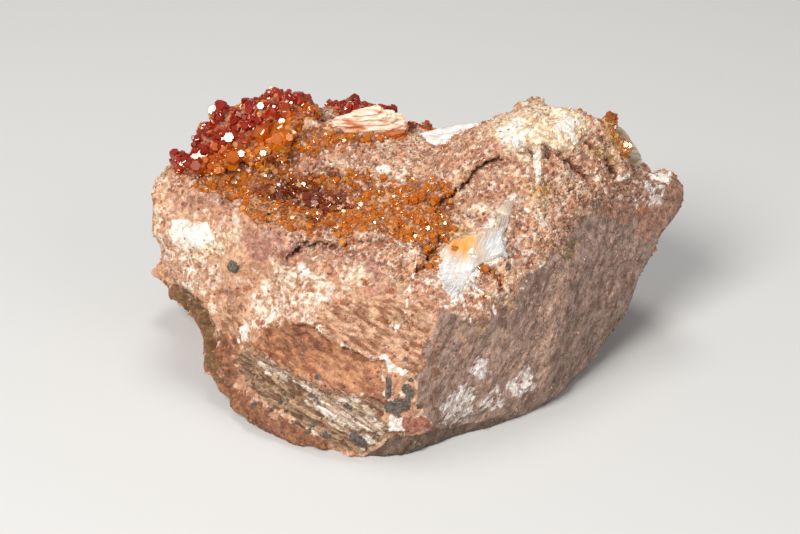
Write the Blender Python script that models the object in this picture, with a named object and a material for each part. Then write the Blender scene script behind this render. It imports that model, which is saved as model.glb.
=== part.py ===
"""A hand specimen of vanadinite on matrix: a carrier rock with crystal crusts and barite blades.

Run it with: blender --background --python part.py
Lengths are in millimetres up to the last step, which scales each mesh to metres. +X is the specimen's
length, -Y is its front, and it rests on a flat cut at Z = 0.
"""

import math
import random
from collections import namedtuple

import bmesh
import bpy
import numpy as np
from mathutils import Matrix, Quaternion, Vector, noise
from mathutils.bvhtree import BVHTree

MM = 0.001
UP = Vector((0.0, 0.0, 1.0))

DEGREE = math.pi / 180.0
SIXTH = math.pi / 3.0

# The gap that neighbouring pieces keep, and the length below which edges are welded, in mm.
GAP = 0.3
WELD = 0.001

# How many places are tried for each crystal, and the share of a crystal that is sunk in its bed.
TRIES = 60
FOOT_DEPTH = 0.5

# The corners of a plate, as shares of its half length and half depth.
PLATE_OUTLINE = ((-1.0, -0.25), (-0.86, -0.85), (-0.35, -1.0), (0.55, -0.92), (0.92, -0.6), (1.0, 0.1),
                 (0.8, 0.85), (0.1, 1.0), (-0.7, 0.9))

# The point inside the rock that every landmark is joined up around.
HEART = Vector((-1.0, -2.0, 13.0))

# Landmarks of the carrier rock in mm, by region. The underside's lie below Z = 0 and are cut off there.
LEFT_SIDE = {
    "left_tip": (-40.4, 11.0, 6.8),
    "wall_low": (-37.5, 1.0, 15.5),
    "wall_middle": (-38.7, 2.0, 22.5),
    "wall_top": (-37.8, 5.0, 25.8),
    "wall_corner": (-36.5, 7.0, 27.3),
    "wall_back": (-35.5, 15.0, 18.0),
    "wall_notch": (-36.3, 7.5, 14.0),
    "ledge_shelf": (-37.5, 13.0, 10.5),
    "ledge_back": (-36.0, 19.0, 9.0),
    "ledge_middle": (-34.5, 0.5, 8.0),
    "ledge_front": (-31.0, -6.0, 6.0),
    "fold_back": (-34.2, -3.4, 12.2),
    "fold_middle": (-29.6, -8.8, 9.8),
    "toe_back": (-30.7, -12.3, 3.3),
    "toe": (-26.5, -15.9, 0.8),
}
FRONT_FACE = {
    "fold_front": (-23.3, -15.0, 9.8),
    "knee_left": (-13.5, -22.0, 9.0),
    "knee_right": (-4.5, -25.0, 7.8),
    "cheek_left": (-27.0, -7.0, 19.0),
    "cheek_right": (-16.0, -14.7, 18.3),
    "brow": (-5.5, -18.8, 19.2),
    "scar_lip_1": (-21.8, -14.4, 13.4),
    "scar_lip_2": (-18.2, -16.4, 15.6),
    "scar_lip_3": (-14.7, -18.9, 16.0),
    "scar_lip_4": (-12.6, -20.4, 14.9),
    "scar_lip_5": (-7.5, -21.9, 14.0),
    "scar_floor_1": (-21.2, -15.3, 10.9),
    "scar_floor_2": (-17.6, -17.4, 12.2),
    "scar_floor_3": (-14.2, -18.9, 12.8),
    "scar_floor_4": (-11.4, -20.3, 12.6),
    "foot_left": (-20.5, -22.3, 1.0),
    "foot_middle": (-15.0, -25.0, 0.2),
    "foot_front": (-10.4, -26.9, 0.2),
    "foot_right": (-2.4, -26.6, 0.3),
}
RIM = {
    "rim_left": (-30.5, -1.0, 27.5),
    "rim_low": (-23.0, -8.0, 24.9),
    "rim_cleft": (-16.0, -10.0, 23.3),
    "rim_centre": (-10.0, -10.0, 24.4),
    "rim_right": (-2.6, -11.0, 24.5),
    "rim_end": (2.8, -12.0, 24.8),
}
TOP = {
    "hollow_left": (-21.0, 0.0, 25.5),
    "hollow_centre": (-12.6, 2.0, 22.6),
    "hollow_right": (-3.0, -1.0, 23.5),
    "saddle_left": (-5.5, 10.0, 28.4),
    "saddle_right": (3.2, 8.0, 27.9),
    "crest_left": (-31.5, 10.0, 28.6),
    "crest_low": (-29.4, 12.0, 30.0),
    "crest_middle": (-26.5, 14.0, 32.6),
    "crest_high": (-20.0, 15.6, 33.9),
    "crest_end": (-15.6, 15.6, 31.0),
    "fan_front_left": (-12.5, 14.8, 27.9),
    "fan_front_right": (-4.0, 15.3, 27.7),
    "rear_front": (3.6, 15.8, 26.6),
    "rear_seat": (4.5, 18.0, 25.6),
    "back_rim_1": (-11.0, 21.0, 29.3),
    "back_rim_2": (-6.8, 21.0, 30.4),
    "back_rim_3": (-0.5, 21.0, 26.8),
    "back_rim_4": (7.5, 21.0, 27.2),
    "shoulder_low": (8.5, -2.0, 28.9),
    "shoulder_front": (6.9, -10.0, 25.4),
    "shoulder_right": (16.6, -5.0, 28.2),
    "summit_left": (9.6, 6.0, 34.2),
    "summit_front": (14.0, 0.0, 33.3),
    "summit": (13.6, 7.0, 34.8),
    "summit_top": (18.5, 8.5, 35.5),
    "summit_right": (23.4, 9.2, 35.9),
    "summit_end": (27.4, 8.9, 32.4),
}
RIGHT_SIDE = {
    "edge_front": (4.0, -19.0, 20.2),
    "edge_1": (10.8, -17.0, 20.6),
    "edge_2": (15.0, -13.0, 21.7),
    "edge_3": (19.4, -8.0, 23.2),
    "edge_4": (22.5, -3.0, 24.7),
    "edge_5": (25.6, 1.0, 25.8),
    "edge_6": (30.6, 8.0, 25.9),
    "corner_high": (1.6, -22.0, 15.4),
    "corner_middle": (0.2, -23.3, 14.0),
    "corner_low": (0.4, -24.6, 8.6),
    "corner_foot": (2.4, -24.2, 3.0),
    "lobe_back": (35.8, 13.0, 23.5),
    "lobe_top": (38.4, 8.6, 24.9),
    "lobe_tip": (39.3, 7.4, 21.3),
    "lobe_low": (35.2, 3.6, 17.0),
    "face_ridge_high": (20.9, -9.0, 18.5),
    "face_ridge_low": (19.4, -13.4, 8.0),
    "flank_middle": (32.2, 0.9, 12.0),
    "flank_low": (30.3, 0.5, 6.0),
    "sole_1": (7.2, -20.8, 0.9),
    "sole_2": (12.4, -18.6, 1.1),
    "sole_3": (19.4, -13.8, 1.5),
    "sole_4": (24.8, -6.5, 2.2),
    "sole_5": (28.3, 1.5, 2.6),
}
BACK = {
    "back_lobe": (34.0, 19.0, 14.0),
    "back_high_1": (28.0, 17.0, 29.0),
    "back_high_2": (16.0, 17.0, 33.5),
    "back_high_3": (-18.0, 21.0, 32.0),
    "back_high_4": (-29.5, 19.0, 28.0),
    "back_wall_1": (22.0, 24.5, 18.0),
    "back_wall_2": (4.0, 25.5, 20.0),
    "back_wall_3": (-14.0, 26.0, 18.0),
    "back_wall_4": (-28.0, 24.0, 16.0),
    "back_foot_1": (27.0, 18.0, 3.0),
    "back_foot_2": (8.0, 23.5, 2.5),
    "back_foot_3": (-12.0, 24.5, 3.5),
    "back_foot_4": (-29.0, 20.0, 3.0),
}
UNDERSIDE = {
    "under_1": (-25.0, -12.0, -1.0),
    "under_2": (-19.5, -20.5, -1.2),
    "under_3": (-10.0, -25.0, -1.5),
    "under_4": (-1.0, -24.5, -1.5),
    "under_5": (9.0, -18.5, -1.5),
    "under_6": (18.0, -12.0, -1.5),
    "under_7": (23.5, -3.0, -1.5),
    "under_8": (24.0, 11.0, -1.5),
    "under_9": (6.0, 19.0, -1.5),
    "under_10": (-13.0, 20.0, -1.5),
    "under_11": (-26.0, 15.0, -1.5),
    "under_12": (-27.0, 0.0, -1.0),
    "under_middle": (-2.0, -2.0, -2.5),
}


# The even mesh that the rock is carved on, the rounding of its broken edges, and its final fineness.
CARVING_STEP = 0.9
EDGE_ROUNDING = 3
ROCK_TRIANGLES = 4000

# The lumps of the sugary rock: wavelength and height in mm. The broken face on the right is smoother.
LUMPS = ((7.0, 0.9), (2.6, 0.45))

# Its blocks, which creases part: their size along X, Y and Z, the creases' depth and share of a block,
# how far they are bent out of true, and the shift between the noises that bend them along X, Y and Z.
BLOCK = Vector((6.5, 5.0, 3.6))
CREASE_DEPTH = 0.75
CREASE_SHARE = 0.3
BLOCK_BEND = 0.9
BEND_SHIFT = Vector((31.4, 17.3, 53.9))
BROKEN_FACE = Vector((0.66, -0.75, 0.0))
BROKEN_FACE_ROUGHNESS = 0.3
BROKEN_FACE_FROM = 0.45
BROKEN_FACE_BLEND = 0.25

# Natural cracks and overhangs: a groove of this depth and half width along its points.
Groove = namedtuple("Groove", "depth half_width points")
GROOVES = {
    "front_cleft": Groove(2.2, 0.9, (
        (-17.8, -11.0, 22.4), (-15.8, -9.9, 23.5), (-10.1, -10.1, 24.3), (-5.5, -9.5, 24.4))),
    "shoulder_cleft": Groove(2.4, 0.9, (
        (2.5, -2.2, 26.0), (5.1, -1.6, 27.3), (7.1, -1.4, 28.6), (8.6, 0.6, 30.7), (11.5, 0.2, 31.9))),
    "saddle_cleft": Groove(0.9, 0.7, ((-13.8, 6.8, 27.4), (-11.5, 5.0, 26.4))),
    "right_cleft": Groove(1.2, 0.8, ((20.7, 2.2, 30.8), (23.0, 1.8, 28.8), (24.6, 1.3, 27.1))),
    "end_cleft": Groove(1.1, 0.8, ((26.5, 6.2, 29.4), (28.2, 5.4, 26.7))),
    "hollow_overhang": Groove(2.0, 1.1, ((0.4, -5.4, 24.6), (1.8, -9.0, 24.8), (2.0, -12.0, 24.4))),
    "left_undercut": Groove(1.2, 1.5, (
        (-38.0, 8.0, 8.8), (-33.8, -1.5, 10.0), (-30.6, -5.8, 9.2), (-29.5, -9.0, 7.2))),
    "foot_step": Groove(0.9, 0.8, (
        (-6.4, -26.2, 1.2), (-3.9, -25.5, 2.6), (0.1, -25.1, 2.4), (2.8, -23.7, 2.8), (7.0, -20.9, 1.6))),
}

# How far a groove's and a dent's slope runs out, as a share of the half width and of the radius.
GROOVE_SKIRT = 2.0
DENT_SKIRT = 1.5

# Rounded dents in the surface: centre, radius and depth.
Dent = namedtuple("Dent", "centre radius depth")
DENTS = {
    "summit_pit_left": Dent((15.0, 0.8, 33.4), 1.1, 1.3),
    "summit_pit_right": Dent((17.6, 1.5, 32.6), 1.0, 1.3),
    "small_hollow": Dent((1.2, -14.4, 22.8), 1.4, 1.2),
    "vein_dent_left": Dent((9.2, -14.8, 22.2), 1.6, 1.1),
    "vein_dent_low": Dent((6.9, -18.2, 20.1), 1.2, 0.7),
}


# The crystals of a crust: how many, the range of their widths, how close they stand for their width,
# how far they lean from the surface's normal (0 upright, 1 any way), and the seed of their places.
Growth = namedtuple("Growth", "seed count widths closeness lean")
LENGTH_FOR_WIDTH = (0.9, 1.5)

# A crust of vanadinite: its outline seen from above, its lowest level, its bed's thickness, its crystals.
Crust = namedtuple("Crust", "colour outline floor thickness growth")
RED = (0.42, 0.035, 0.012)
ORANGE = (0.62, 0.16, 0.03)
BROWN = (0.36, 0.10, 0.03)
CRUSTS = {
    "vanadinite_ridge_crust": Crust(
        RED,
        ((-35.0, 8.0), (-33.5, 4.5), (-29.0, 4.5), (-25.5, 6.5), (-22.0, 7.5), (-18.0, 10.5), (-15.5, 12.5),
         (-14.6, 16.0), (-14.5, 19.0), (-21.0, 20.0), (-27.0, 18.5), (-32.0, 14.5), (-34.5, 11.5)),
        25.0, 0.9, Growth(3, 46, (1.7, 3.0), 0.72, 0.75)),
    "vanadinite_basin_crust": Crust(
        BROWN,
        ((-24.5, -1.0), (-22.0, 2.5), (-18.5, 4.0), (-12.5, 4.0), (-8.0, 2.0), (-1.0, 2.0), (2.0, -1.0),
         (3.0, -5.0), (2.6, -10.0), (0.8, -8.5), (-1.0, -6.0), (-3.0, -4.5), (-5.0, -7.5),
         (-10.0, -8.3), (-12.5, -5.0), (-16.5, -7.5),
         (-21.5, -7.5), (-24.0, -5.0)),
        20.0, 0.7, Growth(11, 36, (1.2, 2.1), 0.9, 0.7)),
    "vanadinite_back_crust": Crust(
        ORANGE,
        ((-13.2, 19.5), (-9.0, 19.2), (-4.0, 19.6), (-3.5, 22.0), (-8.0, 23.0), (-13.0, 22.5)),
        28.0, 0.9, Growth(5, 11, (1.6, 2.6), 0.7, 0.6)),
    "vanadinite_rear_crust": Crust(
        RED,
        ((-1.0, 20.2), (8.5, 20.2), (9.0, 22.5), (-1.0, 22.5)),
        22.0, 0.8, Growth(8, 10, (1.4, 2.4), 0.7, 0.6)),
    "vanadinite_right_cluster": Crust(
        ORANGE,
        ((26.0, 8.6), (27.5, 7.2), (30.0, 8.2), (30.0, 10.8), (27.0, 11.2)),
        27.0, 0.7, Growth(2, 7, (1.2, 2.0), 0.7, 0.6)),
}
CRUST_TOP = 45.0

# How much a crust's bed swells and thins, as a share of its thickness, and over what distance.
SWELL = 0.45
SWELL_SPACING = 2.2

# The layered barite plates: each runs from one end to the other, with this depth, thickness and tilt.
Plate = namedtuple("Plate", "start end depth thickness tilt")
PLATES = {
    "barite_blade_fan": (
        Plate((-15.2, 16.0, 28.1), (-2.2, 17.2, 28.2), 3.2, 1.1, 38.0),
        Plate((-14.8, 16.3, 28.9), (-1.9, 17.5, 29.1), 3.4, 1.0, 34.0),
        Plate((-12.6, 16.9, 29.8), (-3.2, 17.8, 30.1), 3.0, 1.0, 30.0),
        Plate((-9.8, 17.5, 30.6), (-4.6, 18.1, 30.9), 2.4, 0.9, 26.0),
    ),
    "barite_rear_blade": (
        Plate((-1.8, 17.9, 25.7), (9.4, 17.7, 27.3), 3.2, 1.0, 48.0),
        Plate((0.4, 18.2, 26.5), (9.6, 18.0, 28.0), 2.8, 0.9, 44.0),
    ),
    "barite_right_blade": (
        Plate((28.0, 11.2, 31.6), (31.7, 11.2, 24.8), 4.2, 0.9, 72.0),
        Plate((28.2, 11.9, 31.2), (31.0, 12.0, 25.8), 3.4, 0.8, 66.0),
    ),
}
BLADE_COLOURS = {
    "barite_blade_fan": (0.86, 0.66, 0.44),
    "barite_rear_blade": (0.85, 0.80, 0.74),
    "barite_right_blade": (0.74, 0.70, 0.64),
}

# The fibrous vein: its outline from above, and the fibres' ridges, which fan out from its root.
VEIN_OUTLINE = ((2.6, -14.0), (4.4, -11.4), (8.0, -10.2), (10.0, -7.5), (13.4, -4.6), (12.4, -8.0),
                (11.2, -10.0), (12.2, -12.2), (8.8, -13.2), (6.6, -15.6), (4.4, -18.9), (2.9, -17.4))
VEIN_ROOT = Vector((3.6, -19.0, 20.0))
VEIN_FLOOR = 18.0
VEIN_THICKNESS = 0.75
FIBRE_RELIEF = 0.35
FIBRES_PER_RADIAN = 22.0
VEIN_COLOUR = (0.85, 0.83, 0.79)

MATRIX_COLOUR = (0.55, 0.33, 0.22)


def clear_scene():
    """Removes every object that the scene starts with."""
    for obj in list(bpy.data.objects):
        bpy.data.objects.remove(obj, do_unlink=True)


def to_object(shape, name):
    """A mesh object from a bmesh, which it frees."""
    mesh = bpy.data.meshes.new(name)
    shape.to_mesh(mesh)
    shape.free()
    obj = bpy.data.objects.new(name, mesh)
    bpy.context.scene.collection.objects.link(obj)
    return obj


def bake(obj):
    """Replaces the object's mesh with what its modifiers make of it."""
    graph = bpy.context.evaluated_depsgraph_get()
    mesh = bpy.data.meshes.new_from_object(obj.evaluated_get(graph))
    obj.modifiers.clear()
    old = obj.data
    obj.data = mesh
    bpy.data.meshes.remove(old)


def landmark_hull(*regions):
    """A closed mesh through the landmarks, joined up by the directions in which the heart sees them."""
    hull = bmesh.new()
    place = {}
    for region in regions:
        for landmark in region.values():
            direction = (Vector(landmark) - HEART).normalized()
            place[hull.verts.new(direction)] = landmark
    bmesh.ops.convex_hull(hull, input=hull.verts[:])
    for vert, landmark in place.items():
        vert.co = landmark
    bmesh.ops.recalc_face_normals(hull, faces=hull.faces[:])
    return hull


def even_out(obj):
    """Gives the hull an even mesh and rounds its broken edges a little."""
    remesh = obj.modifiers.new("even_mesh", "REMESH")
    remesh.mode = "VOXEL"
    remesh.voxel_size = CARVING_STEP
    rounding = obj.modifiers.new("rounding", "SMOOTH")
    rounding.factor = 0.5
    rounding.iterations = EDGE_ROUNDING
    bake(obj)


def smooth_step(value):
    """0 below 0, 1 above 1, and a smooth rise between them."""
    value = min(max(value, 0.0), 1.0)
    return value * value * (3.0 - 2.0 * value)


def distance_to_path(point, path):
    """The distance from a point to a path of straight runs."""
    nearest = float("inf")
    for start, end in zip(path, path[1:]):
        run = end - start
        share = min(max((point - start).dot(run) / run.length_squared, 0.0), 1.0)
        nearest = min(nearest, (point - start - run * share).length)
    return nearest


def roughness_at(normal):
    """1 on the sugary rock, less on the smooth broken face."""
    share = smooth_step((normal.dot(BROKEN_FACE) - BROKEN_FACE_FROM) / BROKEN_FACE_BLEND)
    return 1.0 + (BROKEN_FACE_ROUGHNESS - 1.0) * share


def outward_directions(mesh):
    """The outward direction at each point of a mesh, added up in a fixed order so that each run agrees."""
    mesh.calc_loop_triangles()
    points = np.empty(len(mesh.vertices) * 3, np.float32)
    mesh.vertices.foreach_get("co", points)
    faces = np.empty(len(mesh.loop_triangles) * 3, np.int32)
    mesh.loop_triangles.foreach_get("vertices", faces)
    faces = faces.reshape(-1, 3)
    corners = points.reshape(-1, 3).astype(np.float64)[faces]
    across = np.cross(corners[:, 1] - corners[:, 0], corners[:, 2] - corners[:, 0])
    total = np.zeros((len(mesh.vertices), 3))
    for corner in range(3):
        np.add.at(total, faces[:, corner], across)
    return [Vector(row).normalized() for row in total]


def sinking_at(point, grooves):
    """How far the cracks and dents sink the surface here."""
    depth_here = 0.0
    for depth, half_width, path in grooves:
        depth_here += depth * smooth_step(1.0 - distance_to_path(point, path) / (GROOVE_SKIRT * half_width))
    for dent in DENTS.values():
        reach = (point - Vector(dent.centre)).length
        depth_here += dent.depth * smooth_step(1.0 - reach / (DENT_SKIRT * dent.radius))
    return depth_here


def lumps_at(point):
    """How far the rock's lumps and the creases between its blocks move the surface here."""
    rise = sum(height * noise.fractal(point / wavelength, 1.0, 2.0, 2) for wavelength, height in LUMPS)
    bend = Vector([noise.noise(point / BLOCK.x + BEND_SHIFT * axis) for axis in range(3)]) * BLOCK_BEND
    cell = Vector((point.x / BLOCK.x, point.y / BLOCK.y, point.z / BLOCK.z)) + bend
    nearest, second = noise.voronoi(cell)[0][:2]
    return rise - CREASE_DEPTH * smooth_step(1.0 - (second - nearest) / CREASE_SHARE)


def carve(obj):
    """Adds the lumps and sinks the cracks and dents into the rock."""
    grooves = [(g.depth, g.half_width, [Vector(p) for p in g.points]) for g in GROOVES.values()]
    for vert, normal in zip(obj.data.vertices, outward_directions(obj.data)):
        rise = lumps_at(vert.co) * roughness_at(normal) - sinking_at(vert.co, grooves)
        vert.co = vert.co + normal * rise


def reduce_to(obj, triangles):
    """Brings the mesh down to about this many triangles."""
    obj.data.calc_loop_triangles()
    decimate = obj.modifiers.new("reduce", "DECIMATE")
    decimate.ratio = triangles / len(obj.data.loop_triangles)
    decimate.use_collapse_triangulate = True
    bake(obj)


def cut_flat(obj):
    """Cuts the underside off at Z = 0 and closes the cut."""
    shape = bmesh.new()
    shape.from_mesh(obj.data)
    all_of_it = shape.verts[:] + shape.edges[:] + shape.faces[:]
    bmesh.ops.bisect_plane(
        shape, geom=all_of_it, dist=WELD, plane_co=(0.0, 0.0, 0.0), plane_no=-UP, clear_outer=True)
    rim = [edge for edge in shape.edges if edge.is_boundary]
    bmesh.ops.holes_fill(shape, edges=rim, sides=0)
    bmesh.ops.recalc_face_normals(shape, faces=shape.faces[:])
    shape.to_mesh(obj.data)
    shape.free()


def make_matrix():
    """The carrier rock, with its flat cut underneath."""
    obj = to_object(landmark_hull(LEFT_SIDE, FRONT_FACE, RIM, TOP, RIGHT_SIDE, BACK, UNDERSIDE), "matrix")
    even_out(obj)
    carve(obj)
    reduce_to(obj, ROCK_TRIANGLES)
    cut_flat(obj)
    return obj


def boolean(obj, cutter, operation, own_overlaps=False):
    """Applies one exact Boolean and removes the cutter."""
    modifier = obj.modifiers.new(operation.lower(), "BOOLEAN")
    modifier.operation = operation
    modifier.solver = "EXACT"
    modifier.object = cutter
    modifier.use_self = own_overlaps
    bake(obj)
    bpy.data.objects.remove(cutter, do_unlink=True)


def inflated(obj, offset_at):
    """A copy of the object, each corner moved out along its normal by offset_at(corner)."""
    mesh = obj.data.copy()
    for vert, normal in zip(mesh.vertices, outward_directions(mesh)):
        vert.co = vert.co + normal * offset_at(vert.co)
    copy = bpy.data.objects.new(obj.name + "_inflated", mesh)
    bpy.context.scene.collection.objects.link(copy)
    return copy


def column(outline, floor):
    """A straight column over an outline, from the floor level to above the specimen."""
    shape = bmesh.new()
    base = shape.faces.new([shape.verts.new((x, y, floor)) for x, y in outline])
    grown = bmesh.ops.extrude_face_region(shape, geom=[base])["geom"]
    raised = [part for part in grown if isinstance(part, bmesh.types.BMVert)]
    bmesh.ops.translate(shape, vec=UP * (CRUST_TOP - floor), verts=raised)
    bmesh.ops.recalc_face_normals(shape, faces=shape.faces[:])
    return to_object(shape, "column")


def keep_largest_body(obj):
    """Deletes every loose scrap but the largest body, and welds slivers."""
    shape = bmesh.new()
    shape.from_mesh(obj.data)
    bmesh.ops.remove_doubles(shape, verts=shape.verts[:], dist=WELD)
    bmesh.ops.dissolve_degenerate(shape, dist=WELD, edges=shape.edges[:])
    bmesh.ops.triangulate(shape, faces=shape.faces[:])
    unseen = set(shape.faces)
    bodies = []
    while unseen:
        body = set()
        front = [unseen.pop()]
        while front:
            face = front.pop()
            body.add(face)
            neighbours = {other for edge in face.edges for other in edge.link_faces} & unseen
            unseen -= neighbours
            front.extend(neighbours)
        bodies.append(body)
    bodies.sort(key=lambda body: sum(face.calc_area() for face in body))
    for body in bodies[:-1]:
        bmesh.ops.delete(shape, geom=list(body), context="FACES")
    shape.to_mesh(obj.data)
    shape.free()


def add_prism(shape, foot, axis, spin, width, length):
    """Adds one six-sided crystal with flat ends, which starts at its foot and runs along its axis."""
    turn = UP.rotation_difference(axis) @ Quaternion(UP, spin)
    rings = []
    for level in (0.0, length):
        corners = [Vector((width / 2.0, 0.0, level)) for _ in range(6)]
        for step, corner in enumerate(corners):
            corner.rotate(Quaternion(UP, step * SIXTH))
        rings.append([shape.verts.new(foot + turn @ corner) for corner in corners])
    low, high = rings
    shape.faces.new(low[::-1])
    shape.faces.new(high)
    for step in range(6):
        after = (step + 1) % 6
        shape.faces.new((low[step], low[after], high[after], high[step]))


def inside(x, y, outline):
    """True where a place seen from above is inside the outline."""
    within = False
    for (x1, y1), (x2, y2) in zip(outline, outline[1:] + outline[:1]):
        if (y1 > y) != (y2 > y) and x < x1 + (y - y1) * (x2 - x1) / (y2 - y1):
            within = not within
    return within


def grow_crystals(crust, ground):
    """The crust's crystals, each with its foot sunk in the bed."""
    growth = crust.growth
    rng = random.Random(growth.seed)
    across = [x for x, _ in crust.outline]
    along = [y for _, y in crust.outline]
    shape = bmesh.new()
    placed = []
    for _ in range(growth.count * TRIES):
        x = rng.uniform(min(across), max(across))
        y = rng.uniform(min(along), max(along))
        if not inside(x, y, crust.outline):
            continue
        point, normal, _, _ = ground.ray_cast(Vector((x, y, CRUST_TOP)), -UP)
        width = rng.uniform(*growth.widths)
        if point is None or point.z < crust.floor:
            continue
        if any((point - other).length < growth.closeness * (width + size) / 2.0 for other, size in placed):
            continue
        placed.append((point, width))
        sideways = Vector([rng.gauss(0.0, 1.0) for _ in range(3)]).normalized()
        axis = (normal + sideways * growth.lean * rng.random()).normalized()
        length = width * rng.uniform(*LENGTH_FOR_WIDTH)
        foot = point + normal * crust.thickness / 2.0 - axis * FOOT_DEPTH * length
        add_prism(shape, foot, axis, rng.uniform(0.0, SIXTH), width, length)
        if len(placed) == growth.count:
            break
    return to_object(shape, "crystals")


def lumpy(thickness):
    """The thickness of a crust's bed, which swells and thins from place to place."""
    return lambda point: thickness * (1.0 + SWELL * noise.noise(point / SWELL_SPACING))


def make_crust(name, crust, matrix, ground, neighbours):
    """One crust: a bed that follows the rock, with its crystals, cut clear of the rock and the blades."""
    obj = grow_crystals(crust, ground)
    obj.name = name
    obj.data.name = name
    bed = inflated(matrix, lumpy(crust.thickness))
    boolean(bed, column(crust.outline, crust.floor), "INTERSECT")
    boolean(obj, bed, "UNION", own_overlaps=True)
    boolean(obj, inflated(matrix, lambda _: GAP), "DIFFERENCE")
    for neighbour in neighbours:
        boolean(obj, make_blade(neighbour + "_clearance", PLATES[neighbour], GAP), "DIFFERENCE")
    keep_largest_body(obj)
    return obj


def make_blade(name, plates, grow=0.0):
    """Overlapping tapered plates, joined as one layered blade. Growing them gives the clearance around it."""
    joined = None
    for plate in plates:
        start = Vector(plate.start)
        end = Vector(plate.end)
        along = (end - start).normalized()
        tilt = Quaternion(along, plate.tilt * DEGREE)
        inward = tilt @ UP.cross(along).normalized()
        thick = along.cross(inward).normalized()
        half = plate.depth / 2.0 + grow
        rise = thick * (plate.thickness / 2.0 + grow)
        middle = (start + end) / 2.0
        reach = (end - start).length / 2.0 + grow
        outline = [(reach * u, half * w) for u, w in PLATE_OUTLINE]
        shape = bmesh.new()
        low = [shape.verts.new(middle + along * u + inward * w - rise) for u, w in outline]
        high = [shape.verts.new(middle + along * u + inward * w + rise) for u, w in outline]
        shape.faces.new(low[::-1])
        shape.faces.new(high)
        for step in range(len(outline)):
            after = (step + 1) % len(outline)
            shape.faces.new((low[step], low[after], high[after], high[step]))
        bmesh.ops.recalc_face_normals(shape, faces=shape.faces[:])
        body = to_object(shape, name)
        if joined is None:
            joined = body
        else:
            boolean(joined, body, "UNION")
    return joined


def fibrous(point):
    """The thickness of the vein, with ridges that fan out from its root."""
    spread = point - VEIN_ROOT
    turn = math.atan2(spread.y, spread.x)
    return VEIN_THICKNESS * (1.0 + FIBRE_RELIEF * math.sin(turn * FIBRES_PER_RADIAN))


def make_vein(matrix):
    """The white fibrous vein, a ridged layer on the rock."""
    obj = inflated(matrix, fibrous)
    obj.name = "barite_vein"
    obj.data.name = "barite_vein"
    boolean(obj, column(VEIN_OUTLINE, VEIN_FLOOR), "INTERSECT")
    boolean(obj, inflated(matrix, lambda _: GAP), "DIFFERENCE")
    keep_largest_body(obj)
    return obj


def paint(obj, colour, roughness):
    """Gives the object its own plain material."""
    material = bpy.data.materials.new(obj.name)
    material.use_nodes = True
    shader = material.node_tree.nodes["Principled BSDF"]
    shader.inputs["Base Color"].default_value = (*colour, 1.0)
    shader.inputs["Roughness"].default_value = roughness
    obj.data.materials.clear()
    obj.data.materials.append(material)


def settle(pieces):
    """Centres the specimen over the origin, with its cut at Z = 0, and scales it to metres."""
    corners = [vert.co for obj in pieces for vert in obj.data.vertices]
    middle_x = (min(c.x for c in corners) + max(c.x for c in corners)) / 2.0
    middle_y = (min(c.y for c in corners) + max(c.y for c in corners)) / 2.0
    move = Matrix.Scale(MM, 4) @ Matrix.Translation((-middle_x, -middle_y, 0.0))
    for obj in pieces:
        obj.data.transform(move)
    return -middle_x, -middle_y


def main():
    clear_scene()
    matrix = make_matrix()
    corners = [vert.co for vert in matrix.data.vertices]
    ground = BVHTree.FromPolygons(corners, [tuple(face.vertices) for face in matrix.data.polygons])
    pieces = [matrix]
    for name, plates in PLATES.items():
        blade = make_blade(name, plates)
        boolean(blade, inflated(matrix, lambda _: GAP), "DIFFERENCE")
        keep_largest_body(blade)
        paint(blade, BLADE_COLOURS[name], 0.4)
        pieces.append(blade)
    for name, crust in CRUSTS.items():
        obj = make_crust(name, crust, matrix, ground, PLATES)
        paint(obj, crust.colour, 0.25)
        pieces.append(obj)
    vein = make_vein(matrix)
    paint(vein, VEIN_COLOUR, 0.45)
    pieces.append(vein)
    paint(matrix, MATRIX_COLOUR, 0.8)
    return settle(pieces)


if __name__ == "__main__":
    SHIFT = (*main(), 0.0)
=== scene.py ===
"""Vanadinite on matrix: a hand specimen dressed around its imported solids.

The carrier rock is a sugary carbonate with a smooth broken face on its right. Red and orange-brown
vanadinite crystals crust its left shoulder and fill a shallow basin, and white barite grows as blades and as
a silky sheaf. Shapes are worked out in millimetres and written to each mesh in metres.
"""

import itertools
import logging
import math
import random
from dataclasses import dataclass, field
from enum import Enum
from functools import partial

import bmesh
import bpy
import numpy as np
from mathutils import Matrix, Quaternion, Vector
from mathutils.bvhtree import BVHTree


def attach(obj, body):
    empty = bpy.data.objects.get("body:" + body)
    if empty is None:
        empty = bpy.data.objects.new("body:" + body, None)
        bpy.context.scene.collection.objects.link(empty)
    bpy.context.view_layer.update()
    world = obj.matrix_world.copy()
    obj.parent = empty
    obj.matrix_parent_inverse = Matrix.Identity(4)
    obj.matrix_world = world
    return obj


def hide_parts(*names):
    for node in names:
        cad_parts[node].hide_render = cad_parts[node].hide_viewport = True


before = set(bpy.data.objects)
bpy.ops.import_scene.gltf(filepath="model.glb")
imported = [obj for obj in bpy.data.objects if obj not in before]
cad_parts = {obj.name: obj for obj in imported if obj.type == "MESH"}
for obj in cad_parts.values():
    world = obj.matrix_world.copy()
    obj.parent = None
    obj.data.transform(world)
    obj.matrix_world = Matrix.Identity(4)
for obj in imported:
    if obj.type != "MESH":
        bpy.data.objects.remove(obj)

LOG = logging.getLogger("specimen")
Point = tuple[float, float, float]
Pixel = tuple[float, float]
Socket = bpy.types.NodeSocket
Sizes = dict[str, object]

# Metres in a millimetre, and the CAD frame's shift, in mm, from the frame in which places are given here.
MM = 0.001
SHIFT = np.array((0.686, 0.210, 0.0))

# The ways that broken layers run: down the foot of the front, and up the broken face on the right.
FOOT_RUN: Point = (0.85, -0.45, -0.29)
FACE_RUN: Point = (0.49, 0.49, 0.72)

# Faces where less than this share grows are left out of a bed.
LEAST_SHARE = 0.04

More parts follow.
